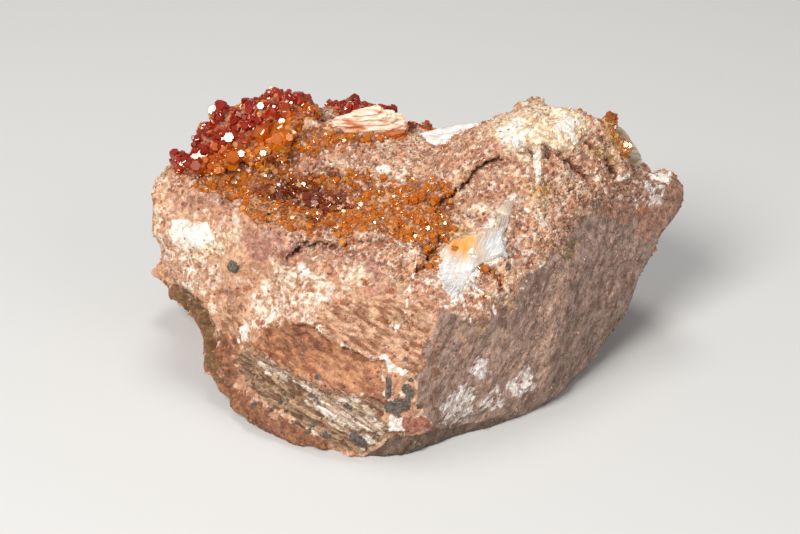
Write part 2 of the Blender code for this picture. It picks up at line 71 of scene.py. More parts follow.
# The type of a node tree's input, by the value that it gets.
SOCKETS = {
    float: "NodeSocketFloat", int: "NodeSocketInt", Vector: "NodeSocketVector",
    bpy.types.Material: "NodeSocketMaterial"}


class Slot(Enum):
    """Material slot names, which the crusts and blades carry."""

    ROCK = "matrix_rock"
    RED = "vanadinite_red"
    ORANGE = "vanadinite_orange"
    CREAM = "barite_cream"
    WHITE = "barite_white"


# ---------------------------------------------------------------------------------------------------------
# Noise and small measures, on whole arrays of points
# ---------------------------------------------------------------------------------------------------------


def hashed(cells: np.ndarray, seed: int) -> np.ndarray:
    """Random numbers that depend only on a cell and a seed.

    Args:
        cells: Whole numbers along X, Y and Z, in the last axis.
        seed: Which set of random numbers.

    Returns:
        Numbers from 0 to 1, one for each cell.
    """
    mixed = (cells[..., 0] * 73856093) ^ (cells[..., 1] * 19349663) ^ (cells[..., 2] * 83492791)
    mixed = (mixed ^ (seed * 2654435761)) & 0xFFFFFFFF
    for _ in range(2):
        mixed = ((mixed ^ (mixed >> 16)) * 0x45D9F3B) & 0xFFFFFFFF
    return ((mixed ^ (mixed >> 16)) & 0xFFFFFF) / float(0x1000000)


def waves(points: np.ndarray, seed: int) -> np.ndarray:
    """Smooth gradient noise with a wavelength of about 1.

    Args:
        points: Places, one in each row.
        seed: Which noise.

    Returns:
        Heights from about -1 to 1.
    """
    low = np.floor(points).astype(np.int64)
    part = points - low
    ease = part**3 * (part * (part * 6.0 - 15.0) + 10.0)
    total = np.zeros(len(points))
    for corner in itertools.product((0, 1), repeat=3):
        cell = low + corner
        slope = np.stack([hashed(cell, seed * 3 + axis) * 2.0 - 1.0 for axis in range(3)], axis=-1)
        weight = np.prod(np.where(corner, ease, 1.0 - ease), axis=-1)
        total += weight * (slope * (part - corner)).sum(axis=-1)
    return total * 1.7


def rough_waves(points: np.ndarray, seed: int, octaves: int = 3) -> np.ndarray:
    """Gradient noise summed over octaves, each half as long and half as high.

    Args:
        points: Places, one in each row.
        seed: Which noise.
        octaves: How many noises are summed.

    Returns:
        Heights from about -1 to 1.
    """
    return sum(waves(points * 2.0**step, seed + step) * 0.5**step for step in range(octaves))


def grains(points: np.ndarray, seed: int) -> tuple[np.ndarray, np.ndarray, np.ndarray]:
    """Irregular cells about 1 across, as packed grains have.

    Args:
        points: Places, one in each row.
        seed: Which cells.

    Returns:
        The distance to the nearest cell's heart and to the second, and the nearest cell's random number.
    """
    low = np.floor(points).astype(np.int64)
    nearest = np.full(len(points), 9.0)
    second = np.full(len(points), 9.0)
    number = np.zeros(len(points))
    for step in itertools.product((-1, 0, 1), repeat=3):
        cell = low + step
        heart = cell + np.stack([hashed(cell, seed * 5 + axis) for axis in range(3)], axis=-1)
        reach = np.linalg.norm(points - heart, axis=-1)
        closer = reach < nearest
        second = np.where(closer, nearest, np.minimum(second, reach))
        number = np.where(closer, hashed(cell, seed * 5 + 3), number)
        nearest = np.where(closer, reach, nearest)
    return nearest, second, number


def eased(value: np.ndarray) -> np.ndarray:
    """0 below 0, 1 above 1, and a smooth rise between them."""
    value = np.clip(value, 0.0, 1.0)
    return value * value * (3.0 - 2.0 * value)


def path_distance(places: np.ndarray, path: np.ndarray) -> np.ndarray:
    """The distance from each place to a path of straight runs.

    Args:
        places: Places of any number of axes, one in each row.
        path: The path's corners in the same axes.

    Returns:
        One distance for each place.
    """
    if len(path) == 1:
        return np.linalg.norm(places - path[0], axis=1)
    nearest = np.full(len(places), np.inf)
    for start, end in zip(path[:-1], path[1:]):
        run = end - start
        share = np.clip((places - start) @ run / (run @ run), 0.0, 1.0)
        nearest = np.minimum(nearest, np.linalg.norm(places - start - share[:, None] * run, axis=1))
    return nearest


def within(places: np.ndarray, outline: np.ndarray) -> np.ndarray:
    """Which flat places are inside a closed outline.

    Args:
        places: Flat places, one in each row.
        outline: The outline's corners.

    Returns:
        True for each place inside.
    """
    found = np.zeros(len(places), bool)
    for (x1, y1), (x2, y2) in zip(outline, np.roll(outline, -1, axis=0)):
        if y1 == y2:
            continue
        crossing = x1 + (places[:, 1] - y1) * (x2 - x1) / (y2 - y1)
        found ^= ((y1 > places[:, 1]) != (y2 > places[:, 1])) & (places[:, 0] < crossing)
    return found


def outlined(
        places: np.ndarray, scale: float, outline: tuple[Pixel, ...], soften: float, wobble: np.ndarray
) -> np.ndarray:
    """How far each place is inside a soft, uneven outline.

    Args:
        places: Places in the camera's view, one in each row.
        scale: How many pixels a millimetre covers.
        outline: The outline's corners, in pixels.
        soften: Half the width of the soft edge, in mm.
        wobble: How far the outline moves out at each place, in mm.

    Returns:
        Shares from 0 outside to 1 inside.
    """
    loop = np.array(outline, float)
    edge = path_distance(places, np.vstack([loop, loop[:1]])) / scale
    return eased(0.5 + (np.where(within(places, loop), edge, -edge) + wobble) / (2.0 * soften))


# ---------------------------------------------------------------------------------------------------------
# Meshes as arrays
# ---------------------------------------------------------------------------------------------------------


@dataclass
class Skin:
    """A triangle mesh as arrays, in mm."""

    points: np.ndarray
    faces: np.ndarray

    @classmethod
    def of(cls, mesh: bpy.types.Mesh, scale: float = 1.0) -> "Skin":
        """Reads a mesh.

        Args:
            mesh: The mesh to read.
            scale: What its lengths are multiplied by.

        Returns:
            The mesh as arrays.
        """
        mesh.calc_loop_triangles()
        points = np.empty(len(mesh.vertices) * 3, np.float32)
        mesh.vertices.foreach_get("co", points)
        faces = np.empty(len(mesh.loop_triangles) * 3, np.int32)
        mesh.loop_triangles.foreach_get("vertices", faces)
        return cls(points.reshape(-1, 3).astype(np.float64) * scale, faces.reshape(-1, 3))

    def normals(self) -> np.ndarray:
        """The outward direction at each point, added up in a fixed order."""
        corners = self.points[self.faces]
        across = np.cross(corners[:, 1] - corners[:, 0], corners[:, 2] - corners[:, 0])
        total = np.stack([
            sum(np.bincount(corner, across[:, axis], len(self.points)) for corner in self.faces.T)
            for axis in range(3)], axis=1)
        return total / np.maximum(np.linalg.norm(total, axis=1, keepdims=True), 1e-12)

    def relaxed(self, values: np.ndarray, rounds: int) -> np.ndarray:
        """Values at the points, each averaged with its neighbours' a number of times.

        Args:
            values: One row or number for each point.
            rounds: How many times the neighbours are averaged.

        Returns:
            The averaged values.
        """
        starts = self.faces.reshape(-1)
        ends = np.roll(self.faces, -1, axis=1).reshape(-1)
        count = np.maximum(np.bincount(starts, minlength=len(self.points)), 1)
        values = values.reshape(len(self.points), -1)
        for _ in range(rounds):
            summed = [np.bincount(starts, column, len(self.points)) for column in values[ends].T]
            values = 0.5 * values + 0.5 * np.stack(summed, axis=1) / count[:, None]
        return values

    def part(self, share: np.ndarray) -> tuple[np.ndarray, "Skin"]:
        """The part of this skin where something grows.

        Args:
            share: How much grows at each point.

        Returns:
            The numbers of the points that are used, and the part.
        """
        used, faces = np.unique(self.faces[share[self.faces].max(axis=1) > LEAST_SHARE], return_inverse=True)
        return used, Skin(self.points[used], faces.reshape(-1, 3))

    def tree(self) -> BVHTree:
        """A tree for the nearest place on this skin."""
        return BVHTree.FromPolygons(self.points.tolist(), self.faces.tolist())

    def mesh(self, name: str, marks: dict[str, np.ndarray] | None = None, scale: float = 1.0) -> bpy.types.Mesh:
        """Makes a Blender mesh of this skin.

        Args:
            name: The mesh's name.
            marks: Numbers at the points, stored as named attributes.
            scale: What the lengths are multiplied by.

        Returns:
            The new mesh.
        """
        mesh = bpy.data.meshes.new(name)
        mesh.from_pydata((self.points * scale).tolist(), [], self.faces.tolist())
        for mark, values in (marks or {}).items():
            mesh.attributes.new(mark, "FLOAT", "POINT").data.foreach_set("value", values.astype(np.float32))
        return mesh


def place_object(name: str, mesh: bpy.types.Mesh) -> bpy.types.Object:
    """Puts a mesh in the scene as an object at the origin."""
    obj = bpy.data.objects.new(name, mesh)
    bpy.context.scene.collection.objects.link(obj)
    return obj


def baked(obj: bpy.types.Object) -> bpy.types.Mesh:
    """The object's mesh with all its modifiers applied, while the object itself is removed.

    Args:
        obj: An object with modifiers.

    Returns:
        A plain mesh.
    """
    bpy.context.view_layer.update()
    graph = bpy.context.evaluated_depsgraph_get()
    mesh = bpy.data.meshes.new_from_object(
        obj.evaluated_get(graph), preserve_all_data_layers=True, depsgraph=graph)
    bpy.data.objects.remove(obj, do_unlink=True)
    return mesh


def node_solid(node: str) -> Skin:
    """A CAD node's solid as a merged skin, in mm.

    Args:
        node: The CAD node's name.

    Returns:
        Its skin, which leaves the CAD node's own mesh as it is.
    """
    shape = bmesh.new()
    shape.from_mesh(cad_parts[node].data)
    bmesh.ops.scale(shape, vec=Vector((1.0, 1.0, 1.0)) / MM, verts=shape.verts[:])
    bmesh.ops.remove_doubles(shape, verts=shape.verts[:], dist=1e-3)
    bmesh.ops.triangulate(shape, faces=shape.faces[:])
    mesh = bpy.data.meshes.new(node + "_copy")
    shape.to_mesh(mesh)
    shape.free()
    return Skin.of(mesh)


def evened(skin: Skin, cell: float, rounding: int) -> Skin:
    """Gives a closed skin an even mesh and rounds its facets.

    Args:
        skin: The closed skin.
        cell: The new mesh's spacing in mm.
        rounding: How many smoothing rounds follow.

    Returns:
        The even skin.
    """
    obj = place_object("evened", skin.mesh("evened"))
    remesh = obj.modifiers.new("even", "REMESH")
    remesh.mode = "VOXEL"
    remesh.voxel_size = cell
    if rounding:
        smooth = obj.modifiers.new("round", "SMOOTH")
        smooth.factor = 0.5
        smooth.iterations = rounding
    return Skin.of(baked(obj))


# ---------------------------------------------------------------------------------------------------------
# Camera
# ---------------------------------------------------------------------------------------------------------


@dataclass(frozen=True)
class Sightline:
    """The camera, and where it sees each place of the specimen."""

    place: Point = (-2.6, -220.6, 142.0)
    pitch: float = math.radians(30.0)
    focal_pixels: float = 1773.0
    image_width: int = 800
    image_height: int = 534
    sensor: float = 36.0

    def towards(self) -> np.ndarray:
        """The camera's place in the CAD frame, in mm."""
        return np.array(self.place) + SHIFT

    def pixels(self, points: np.ndarray) -> np.ndarray:
        """Where the camera sees each place.

        Args:
            points: Places in mm, one in each row.

        Returns:
            Columns and rows of the camera's view, in pixels, one pair for each place.
        """
        away = points - self.towards()
        depth = away[:, 1] * math.cos(self.pitch) - away[:, 2] * math.sin(self.pitch)
        height = away[:, 1] * math.sin(self.pitch) + away[:, 2] * math.cos(self.pitch)
        across = self.image_width / 2.0 + self.focal_pixels * away[:, 0] / depth
        down = self.image_height / 2.0 - self.focal_pixels * height / depth
        return np.stack([across, down], axis=1)

    def pixels_in_mm(self, points: np.ndarray) -> float:
        """How many pixels a millimetre of the specimen covers, on average."""
        return self.focal_pixels / float(np.linalg.norm(points - self.towards(), axis=1).mean())

    def facing(self, points: np.ndarray, normals: np.ndarray) -> np.ndarray:
        """How squarely each place faces the camera, 1 for squarely and below 0 for turned away."""
        back = self.towards() - points
        return (back * normals).sum(axis=1) / np.linalg.norm(back, axis=1)

    def set_up(self) -> None:
        """Creates the scene's camera."""
        data = bpy.data.cameras.new("camera")
        data.sensor_width = self.sensor
        data.lens = self.focal_pixels / self.image_width * self.sensor
        data.clip_start = 0.01
        data.clip_end = 20.0
        camera = bpy.data.objects.new("camera", data)
        camera.location = Vector(self.towards() * MM)
        camera.rotation_euler = (math.pi / 2.0 - self.pitch, 0.0, 0.0)
        bpy.context.scene.collection.objects.link(camera)
        bpy.context.scene.camera = camera


# ---------------------------------------------------------------------------------------------------------
# Finishes
# ---------------------------------------------------------------------------------------------------------


def colour(text: str) -> tuple[float, float, float, float]:
    """Turns an sRGB hex colour to linear.

    Args:
        text: The colour as six hex digits.

    Returns:
        Linear red, green and blue, and 1 for opaque.
    """
    shares = [int(text[start : start + 2], 16) / 255.0 for start in (0, 2, 4)]
    linear = [share / 12.92 if share <= 0.04045 else ((share + 0.055) / 1.055) ** 2.4 for share in shares]
    return (*linear, 1.0)


class Step(Enum):
    """Kinds of node: the type, the inputs that values are given to in turn, the output that is read on, and the
    settings. Sockets that share a name are told apart by their order."""

    PRINCIPLED = ("ShaderNodeBsdfPrincipled", (), "BSDF")
    SURFACE = ("ShaderNodeOutputMaterial", ("Surface",))
    COORDINATES = ("ShaderNodeTexCoord", (), "Object")
    MAPPING = ("ShaderNodeMapping", ("Vector", "Rotation", "Scale"))
    MARK = ("ShaderNodeAttribute", (), "Fac")
    NOISE = ("ShaderNodeTexNoise", ("Vector", "Scale", "Detail", "Roughness"), "Fac")
    CELLS = ("ShaderNodeTexVoronoi", ("Vector", "Scale"), "Color", {"feature": "F1"})
    CELL_EDGES = ("ShaderNodeTexVoronoi", ("Vector", "Scale"), "Distance", {"feature": "DISTANCE_TO_EDGE"})
    SPLIT = ("ShaderNodeSeparateColor", ("Color",), "Red")
    GREY = ("ShaderNodeCombineColor", ("Red", "Green", "Blue"))
    RAMP = (
        "ShaderNodeMapRange", ("Value", "From Min", "From Max"), "Result", {"interpolation_type": "SMOOTHSTEP"})
    RANGE = ("ShaderNodeMapRange", ("Value", "To Min", "To Max", "From Max"), "Result")
    MIX = ("ShaderNodeMix", (0, 6, 7), 2, {"data_type": "RGBA"})
    TINTED = ("ShaderNodeMix", (0, 6, 7), 2, {"data_type": "RGBA", "blend_type": "MULTIPLY"})
    BUMP = ("ShaderNodeBump", ("Height", "Strength", "Distance"))
    PLUS = ("ShaderNodeMath", (0, 1), 0, {"operation": "ADD"})
    MINUS = ("ShaderNodeMath", (0, 1), 0, {"operation": "SUBTRACT"})
    TIMES = ("ShaderNodeMath", (0, 1), 0, {"operation": "MULTIPLY"})
    OVER = ("ShaderNodeMath", (0, 1), 0, {"operation": "DIVIDE"})
    POWER = ("ShaderNodeMath", (0, 1), 0, {"operation": "POWER"})
    LEAST = ("ShaderNodeMath", (0, 1), 0, {"operation": "MINIMUM"})
    TIMES_PLUS = ("ShaderNodeMath", (0, 1, 2), 0, {"operation": "MULTIPLY_ADD"})
    XYZ = ("ShaderNodeCombineXYZ", ("X", "Y", "Z"))
    WAY_PLUS = ("ShaderNodeVectorMath", (0, 1), 0, {"operation": "ADD"})
    WAY_MINUS = ("ShaderNodeVectorMath", (0, 1), 0, {"operation": "SUBTRACT"})
    WAY_TIMES = ("ShaderNodeVectorMath", (0, "Scale"), 0, {"operation": "SCALE"})
    WAY_UNIT = ("ShaderNodeVectorMath", (0,), 0, {"operation": "NORMALIZE"})
    GIVEN = ("NodeGroupInput",)
    RESULT = ("NodeGroupOutput", (0,))
    NAMED = ("GeometryNodeInputNamedAttribute", ("Name",), 0, {"data_type": "FLOAT"})
    POSITION = ("GeometryNodeInputPosition",)
    SPREAD = (
        "GeometryNodeDistributePointsOnFaces",
        ("Mesh", "Distance Min", "Density Max", "Density Factor", "Seed"), "Points",
        {"distribute_method": "POISSON"})
    PRISM = ("GeometryNodeMeshCylinder", ("Vertices", "Radius", "Depth"), "Mesh", {"fill_type": "NGON"})
    CONE = (
        "GeometryNodeMeshCone", ("Vertices", "Side Segments", "Radius Top", "Radius Bottom", "Depth"), "Mesh",
        {"fill_type": "NGON"})
    LINE = ("GeometryNodeMeshLine", ("Count", "Offset"), "Mesh", {"mode": "OFFSET"})
    RAISED = ("GeometryNodeExtrudeMesh", ("Mesh", "Selection", "Offset Scale"), "Mesh", {"mode": "FACES"})
    NARROWED = ("GeometryNodeScaleElements", ("Geometry", "Selection", "Scale"), 0, {"domain": "FACE"})
    MOVED = ("GeometryNodeTransform", ("Geometry", "Translation"))
    SHIFTED = ("GeometryNodeSetPosition", ("Geometry", "Offset"))
    CHANCE = ("FunctionNodeRandomValue", (2, 3, "Seed"), 1, {"data_type": "FLOAT"})
    CHANCE_WAY = ("FunctionNodeRandomValue", (0, 1, "Seed"), 0, {"data_type": "FLOAT_VECTOR"})
    UPRIGHT = ("FunctionNodeAlignRotationToVector", ("Vector",), 0, {"axis": "Z"})
    SPIN = ("FunctionNodeAxisAngleToRotation", ("Axis", "Angle"))
    TURNED = ("FunctionNodeRotateRotation", ("Rotation", "Rotate By"), 0, {"rotation_space": "LOCAL"})
    PLANTED = ("GeometryNodeInstanceOnPoints", ("Points", "Instance", "Rotation", "Scale"))
    STORED = (
        "GeometryNodeStoreNamedAttribute", ("Geometry", "Name", "Value"), 0,
        {"data_type": "FLOAT", "domain": "INSTANCE"})
    JOINED = ("GeometryNodeJoinGeometry", ("Geometry",))
    REAL = ("GeometryNodeRealizeInstances", ("Geometry",))
    DRESSED = ("GeometryNodeSetMaterial", ("Geometry", "Material"))

    def __init__(
            self, kind: str, places: tuple[str | int, ...] = (), out: str | int = 0,
            settings: dict[str, object] | None = None
    ) -> None:
        """Keeps the parts of a kind of node by name."""
        self.kind, self.places, self.out, self.settings = kind, places, out, settings or {}


def feed(node: bpy.types.Node, values: dict[str | int, object]) -> None:
    """Fills a node's inputs.

    Args:
        node: The node.
        values: Inputs by name or order, each with a socket to link, a value, or None to leave it as it is.
    """
    for place, value in values.items():
        if isinstance(value, Socket):
            node.id_data.links.new(value, node.inputs[place])
        elif value is not None:
            node.inputs[place].default_value = value


def add_node(tree: bpy.types.NodeTree, step: Step, *values: object, **settings: object) -> Socket | None:
    """Adds a node with its settings and links.

    Args:
        tree: The node tree.
        step: The kind of node.
        values: A socket to link or a value for each of the kind's inputs in turn, or None to skip one.
        settings: More properties of the node.

    Returns:
        The output that is read on, or None where the node has no outputs.
    """
    node = tree.nodes.new(step.kind)
    for name, value in (step.settings | settings).items():
        setattr(node, name, value)
    feed(node, dict(zip(step.places, values)))
    return node.outputs[step.out] if node.outputs else None


def blank_material(name: str) -> tuple[bpy.types.Material, bpy.types.Node]:
    """A new node material with nothing but its shader.

    Args:
        name: The material's name.

    Returns:
        The material and its Principled shader.
    """
    material = bpy.data.materials.new(name)
    material.use_nodes = True
    material.node_tree.nodes.clear()
    shader = add_node(material.node_tree, Step.PRINCIPLED)
    add_node(material.node_tree, Step.SURFACE, shader, is_active_output=True)
    return material, shader.node


def in_mm(tree: bpy.types.NodeTree, run: Point = (1.0, 0.0, 0.0), drawn: float = 1.0) -> Socket:
    """Object coordinates in mm, so that a pattern's Scale is one over its size in mm.

    Args:
        tree: The material's node tree.
        run: The way along which the pattern is drawn out.
        drawn: What lengths along it are multiplied by, below 1 to draw the pattern out.

    Returns:
        The socket that gives the coordinates.
    """
    turn = Vector(run).rotation_difference(Vector((1.0, 0.0, 0.0))).to_euler()
    turned = add_node(tree, Step.MAPPING, add_node(tree, Step.COORDINATES), turn, (1.0 / MM,) * 3)
    return turned if drawn == 1.0 else add_node(tree, Step.MAPPING, turned, None, (drawn, 1.0, 1.0))


@dataclass(frozen=True)
class Tint:
    """One stain, bloom or mineral patch on the rock, or a patch of painted shade or painted light on it: its
    two colours, the size of its mottling, how raggedly its edge breaks up, and the way and the share by which
    its mottling is drawn out."""

    mark: str
    dark: str
    light: str
    mottle: float
    ragged: float
    strength: float = 1.0
    run: Point = (1.0, 0.0, 0.0)
    drawn: float = 1.0


@dataclass(frozen=True)
class SugaryRock:
    """Weathered, crystalline carbonate rock, broken by hand: matt, sugary grains, brown gaps and stains."""

    name: str = "sugary_carbonate_rock"
    pink: str = "C38A6A"
    tan: str = "D8A883"
    cream: str = "F2D9BE"
    rust: str = "A8623C"
    gap: str = "6A3418"
    speck: str = "7C3F1C"
    spot: str = "7A3A28"
    # The near-white of the painted highlight on glinting grains.
    painted_glint: str = "FFEEDC"
    spot_spacing: float = 1.15
    mottle: float = 5.0
    grain: float = 0.42
    grit: float = 0.16
    bump: float = 0.09
    roughness: float = 0.72
    polish: float = 0.2
    ior: float = 1.55
    tints: tuple[Tint, ...] = (
        Tint("cream", "AC714B", "F6E0C8", 1.2, 1.0),
        Tint("mauve", "9C6550", "C48E7A", 1.1, 0.8, 0.85),
        Tint("flow", "8A4D2B", "DCAD88", 1.1, 0.7, 0.92, FOOT_RUN, 0.32),
        Tint("orange", "8A3E14", "B86A26", 0.9, 0.7, 0.85),
        Tint("fracture", "795D4E", "AC8D7D", 1.4, 0.25, 1.0, FACE_RUN, 0.55),
        # Lighter broken face and ridge: partly their own colour, partly painted light.
        Tint("ledge", "9A745F", "D0A892", 0.7, 0.9, 0.85, FACE_RUN, 0.25),
        Tint("rose", "7C5440", "AE826B", 1.2, 0.6, 0.9),
        Tint("earth", "6A3A1E", "A06540", 1.1, 0.7, 0.92),
        Tint("streak", "54341C", "B79470", 0.7, 0.5, 0.95, FOOT_RUN, 0.15),
        Tint("scar", "864626", "CC8E62", 1.6, 0.5, 0.9, FOOT_RUN, 0.5),
        Tint("shade", "63351C", "BA7A52", 1.0, 0.6, 0.85, FOOT_RUN, 0.5),
        Tint("brick", "8E4F3E", "B67561", 1.2, 0.5, 0.9),
        Tint("olive", "5A4222", "866636", 1.2, 0.6, 0.8),
        Tint("ochre", "B5854A", "DDAE70", 1.0, 0.7, 0.75),
        Tint("dark", "5A2A1C", "84483A", 0.9, 0.6, 0.85),
        Tint("fleck", "B9A296", "F2ECE6", 0.7, 1.5, 0.9, FACE_RUN, 0.45),
        Tint("butter", "D8AF80", "FBEBCF", 1.0, 0.8, 0.95),
        Tint("silk", "A8845F", "F6EADA", 0.7, 0.9, 0.95, FOOT_RUN, 0.14),
        # Painted shade on the bevel under the front corner.
        Tint("bevel_shade", "544034", "78604F", 1.4, 0.3, 1.0, FACE_RUN, 0.4),
        Tint("white", "E9D3BA", "FFFBF2", 1.0, 0.8),
        Tint("ore", "33302B", "6B655B", 0.5, 0.45, 0.95),
    )

    def material(self) -> bpy.types.Material:
        """Builds the rock's material.

        Returns:
            The material.
        """
        material, shader = blank_material(self.name)
        tree = material.node_tree
        add = partial(add_node, tree)
        place = in_mm(tree)

        def noise(size: float, detail: float = 3.0, shift: float = 0.0, where: Socket = place) -> Socket:
            """A noise with features of this size in mm, which a shift sets apart from the others."""
            return add(Step.NOISE, add(Step.WAY_PLUS, where, (shift,) * 3), 1.0 / size, detail, 0.6)

        cell = add(Step.CELLS, place, 1.0 / self.grain)
        draws = add(Step.SPLIT, cell).node.outputs
        # Pink-tan rock mottled with cream, with rusty places.
        face = colour(self.pink)
        for size, detail, shift, low, high, tone in (
                (self.mottle, 3.0, 0.0, 0.38, 0.66, self.tan), (1.7, 4.0, 17.0, 0.50, 0.68, self.cream),
                (2.3, 4.0, 31.0, 0.56, 0.72, self.rust)):
            face = add(Step.MIX, add(Step.RAMP, noise(size, detail, shift), low, high), face, colour(tone))
        for order, tint in enumerate(self.tints):
            mark = add(Step.MARK, attribute_name=tint.mark)
            where = in_mm(tree, tint.run, tint.drawn) if tint.drawn < 1.0 else place
            broken = noise(tint.mottle, 4.0, 7.0 + 13.0 * order, where)
            frayed = add(Step.PLUS, mark, add(Step.TIMES_PLUS, broken, 2.0 * tint.ragged, -tint.ragged))
            reach = add(Step.TIMES, mark, 4.0 * tint.strength, use_clamp=True)
            share = add(Step.LEAST, add(Step.TIMES, add(Step.RAMP, frayed, 0.35, 0.65), reach), tint.strength)
            mottle = noise(tint.mottle * 0.7, 3.0, 3.0 + 11.0 * order, where)
            tone = add(Step.MIX, add(Step.RAMP, mottle, 0.35, 0.65), colour(tint.dark), colour(tint.light))
            face = add(Step.MIX, share, face, tone)
        # Each grain catches the light differently, and less so where the rock is smooth.
        smoothness = add(Step.MARK, attribute_name="smooth")
        grain_share = add(Step.RANGE, smoothness, 1.0, 0.55)
        bright = add(Step.RANGE, draws["Red"], 0.56, 1.30)
        lit = add(Step.TINTED, 1.0, face, add(Step.GREY, bright, bright, bright))
        face = add(Step.MIX, grain_share, face, lit)
        # A few grains are smooth cleavage faces, with a painted highlight near white in their colour, and a few
        # are brown.
        glints = add(Step.RAMP, draws["Blue"], 0.80, 0.88)
        loose = add(Step.RANGE, smoothness, 0.5, 0.0, 0.45)
        face = add(Step.MIX, add(Step.TIMES, glints, loose), face, colour(self.painted_glint))
        specks = add(Step.TIMES, add(Step.RAMP, draws["Green"], 0.90, 0.93), grain_share)
        face = add(Step.MIX, add(Step.TIMES, specks, 0.55), face, colour(self.speck))
        # Red-brown specks of iron ore, a millimetre or two apart.
        spot = add(Step.CELLS, place, 1.0 / self.spot_spacing)
        near = add(Step.RAMP, spot.node.outputs["Distance"], 0.24, 0.14)
        spots = add(Step.TIMES, near, add(Step.RAMP, add(Step.SPLIT, spot), 0.56, 0.60))
        face = add(Step.MIX, add(Step.TIMES, spots, 0.8), face, colour(self.spot))
        # Grains stand a little proud, with finer grit on them, and the colour turns dark brown in the hollows.
        edge = add(Step.CELL_EDGES, place, 1.0 / self.grain)
        dome = add(Step.TIMES, add(Step.RAMP, edge, 0.0, 0.35), grain_share)
        height = add(Step.TIMES_PLUS, noise(self.grit, 2.0, 5.0), 0.7, dome)
        feed(shader, {
            "Base Color": add(Step.MIX, add(Step.MARK, attribute_name="hollow"), face, colour(self.gap)),
            "Normal": add(Step.BUMP, height, 1.0, self.bump * MM),
            "Roughness": add(Step.RANGE, glints, self.roughness, self.polish),
            "IOR": self.ior})
        return material


@dataclass(frozen=True)
class Vanadinite:
    """Vanadinite, a lead vanadate: short six-sided crystals with a resinous to adamantine shine, deep red
    where they are thick and orange-brown where they are thin."""

    name: str
    deep: str
    warm: str
    pale: str
    bed_dark: str = "6E3217"
    bed_light: str = "B0602A"
    glow: str = "FFE2CC"
    roughness: float = 0.08
    bed_roughness: float = 0.6
    ior: float = 2.15
    clearness: float = 0.2
    cloud: float = 1.6
    crumb: float = 0.5
    growth_line: float = 0.25
    growth_relief: float = 0.03
    glow_depth: float = 0.8

    def material(self) -> bpy.types.Material:
        """Builds the crystals' material.

        Returns:
            The material.
        """
        material, shader = blank_material(self.name)
        add = partial(add_node, material.node_tree)
        place = in_mm(material.node_tree)
        warmth, tone, on_bed = (add(Step.MARK, attribute_name=mark) for mark in ("warmth", "tone", "bed"))
        cloud = add(Step.NOISE, place, 1.0 / self.cloud, 3.0)
        share = add(Step.PLUS, warmth, add(Step.TIMES_PLUS, cloud, 0.5, -0.25))
        body = add(Step.MIX, add(Step.RAMP, share, 0.15, 0.85), colour(self.deep), colour(self.warm))
        body = add(Step.MIX, add(Step.RAMP, tone, 0.90, 1.02), body, colour(self.pale))
        depth = add(Step.RANGE, tone, 0.62, 1.2)
        body = add(Step.TINTED, 1.0, body, add(Step.GREY, depth, depth, depth))
        crumbs = add(Step.NOISE, place, 1.0 / self.crumb, 3.0)
        floor = add(Step.MIX, add(Step.RAMP, crumbs, 0.42, 0.60), colour(self.bed_dark), colour(self.bed_light))
        growth_lines = add(Step.NOISE, place, 1.0 / self.growth_line, 2.0)
        feed(shader, {
            "Base Color": add(Step.MIX, on_bed, body, floor),
            "Roughness": add(Step.RANGE, on_bed, self.roughness, self.bed_roughness),
            "Normal": add(Step.BUMP, growth_lines, 0.5, self.growth_relief * MM),
            # Most of the light comes back from inside a crystal, so its shine is reddish.
            "Specular Tint": colour(self.glow),
            "IOR": self.ior,
            # The crystals pass some light, and the stained bed between them none.
            "Transmission Weight": add(Step.RANGE, on_bed, self.clearness, 0.0),
            "Subsurface Weight": 0.6,
            "Subsurface Radius": (1.2, 0.3, 0.08),
            "Subsurface Scale": self.glow_depth * MM})
        return material


@dataclass(frozen=True)
class Barite:
    """Barite: a soft white sulphate in silky fibres or platy blades, which lets light a little way in."""

    name: str
    body: str
    light: str
    stain: str
    stain_share: float
    stripe: float
    roughness: float
    edge: str = "D2AE8C"
    run: Point = (1.0, 0.0, 0.0)
    amber: str = "E08E32"
    gold: str = "F0B862"
    clearness: float = 0.0
    ior: float = 1.64
    cloud: float = 1.1
    relief: float = 0.05
    glow_depth: float = 0.7

    def material(self) -> bpy.types.Material:
        """Builds the barite's material.

        Returns:
            The material.
        """
        material, shader = blank_material(self.name)
        tree = material.node_tree
        add = partial(add_node, tree)
        streak = add(Step.NOISE, in_mm(tree, self.run, 0.2), 1.0 / self.stripe, 3.0)
        cloud = add(Step.NOISE, in_mm(tree, self.run, 0.3), 1.0 / self.cloud, 3.0)
        tone, stained, rim, amber = (
            add(Step.MARK, attribute_name=mark) for mark in ("tone", "stain", "rim", "amber"))
        face = add(Step.MIX, add(Step.RAMP, streak, 0.36, 0.64), colour(self.body), colour(self.light))
        low = 0.72 - 0.4 * self.stain_share
        soaked = add(Step.RAMP, add(Step.TIMES_PLUS, stained, 0.35, cloud), low, low + 0.16)
        clear = add(Step.MIX, add(Step.RAMP, cloud, 0.25, 0.75), colour(self.amber), colour(self.gold))
        for share, tint in ((soaked, colour(self.stain)), (rim, colour(self.edge)), (amber, clear)):
            face = add(Step.MIX, share, face, tint)
        depth = add(Step.RANGE, tone, 0.90, 1.05)
        feed(shader, {
            "Base Color": add(Step.TINTED, 1.0, face, add(Step.GREY, depth, depth, depth)),
            "Normal": add(Step.BUMP, streak, 0.6, self.relief * MM),
            "Roughness": self.roughness,
            "IOR": self.ior,
            "Transmission Weight": self.clearness,
            "Subsurface Weight": 0.3,
            "Subsurface Radius": (1.0, 0.8, 0.6),
            "Subsurface Scale": self.glow_depth * MM})
        return material


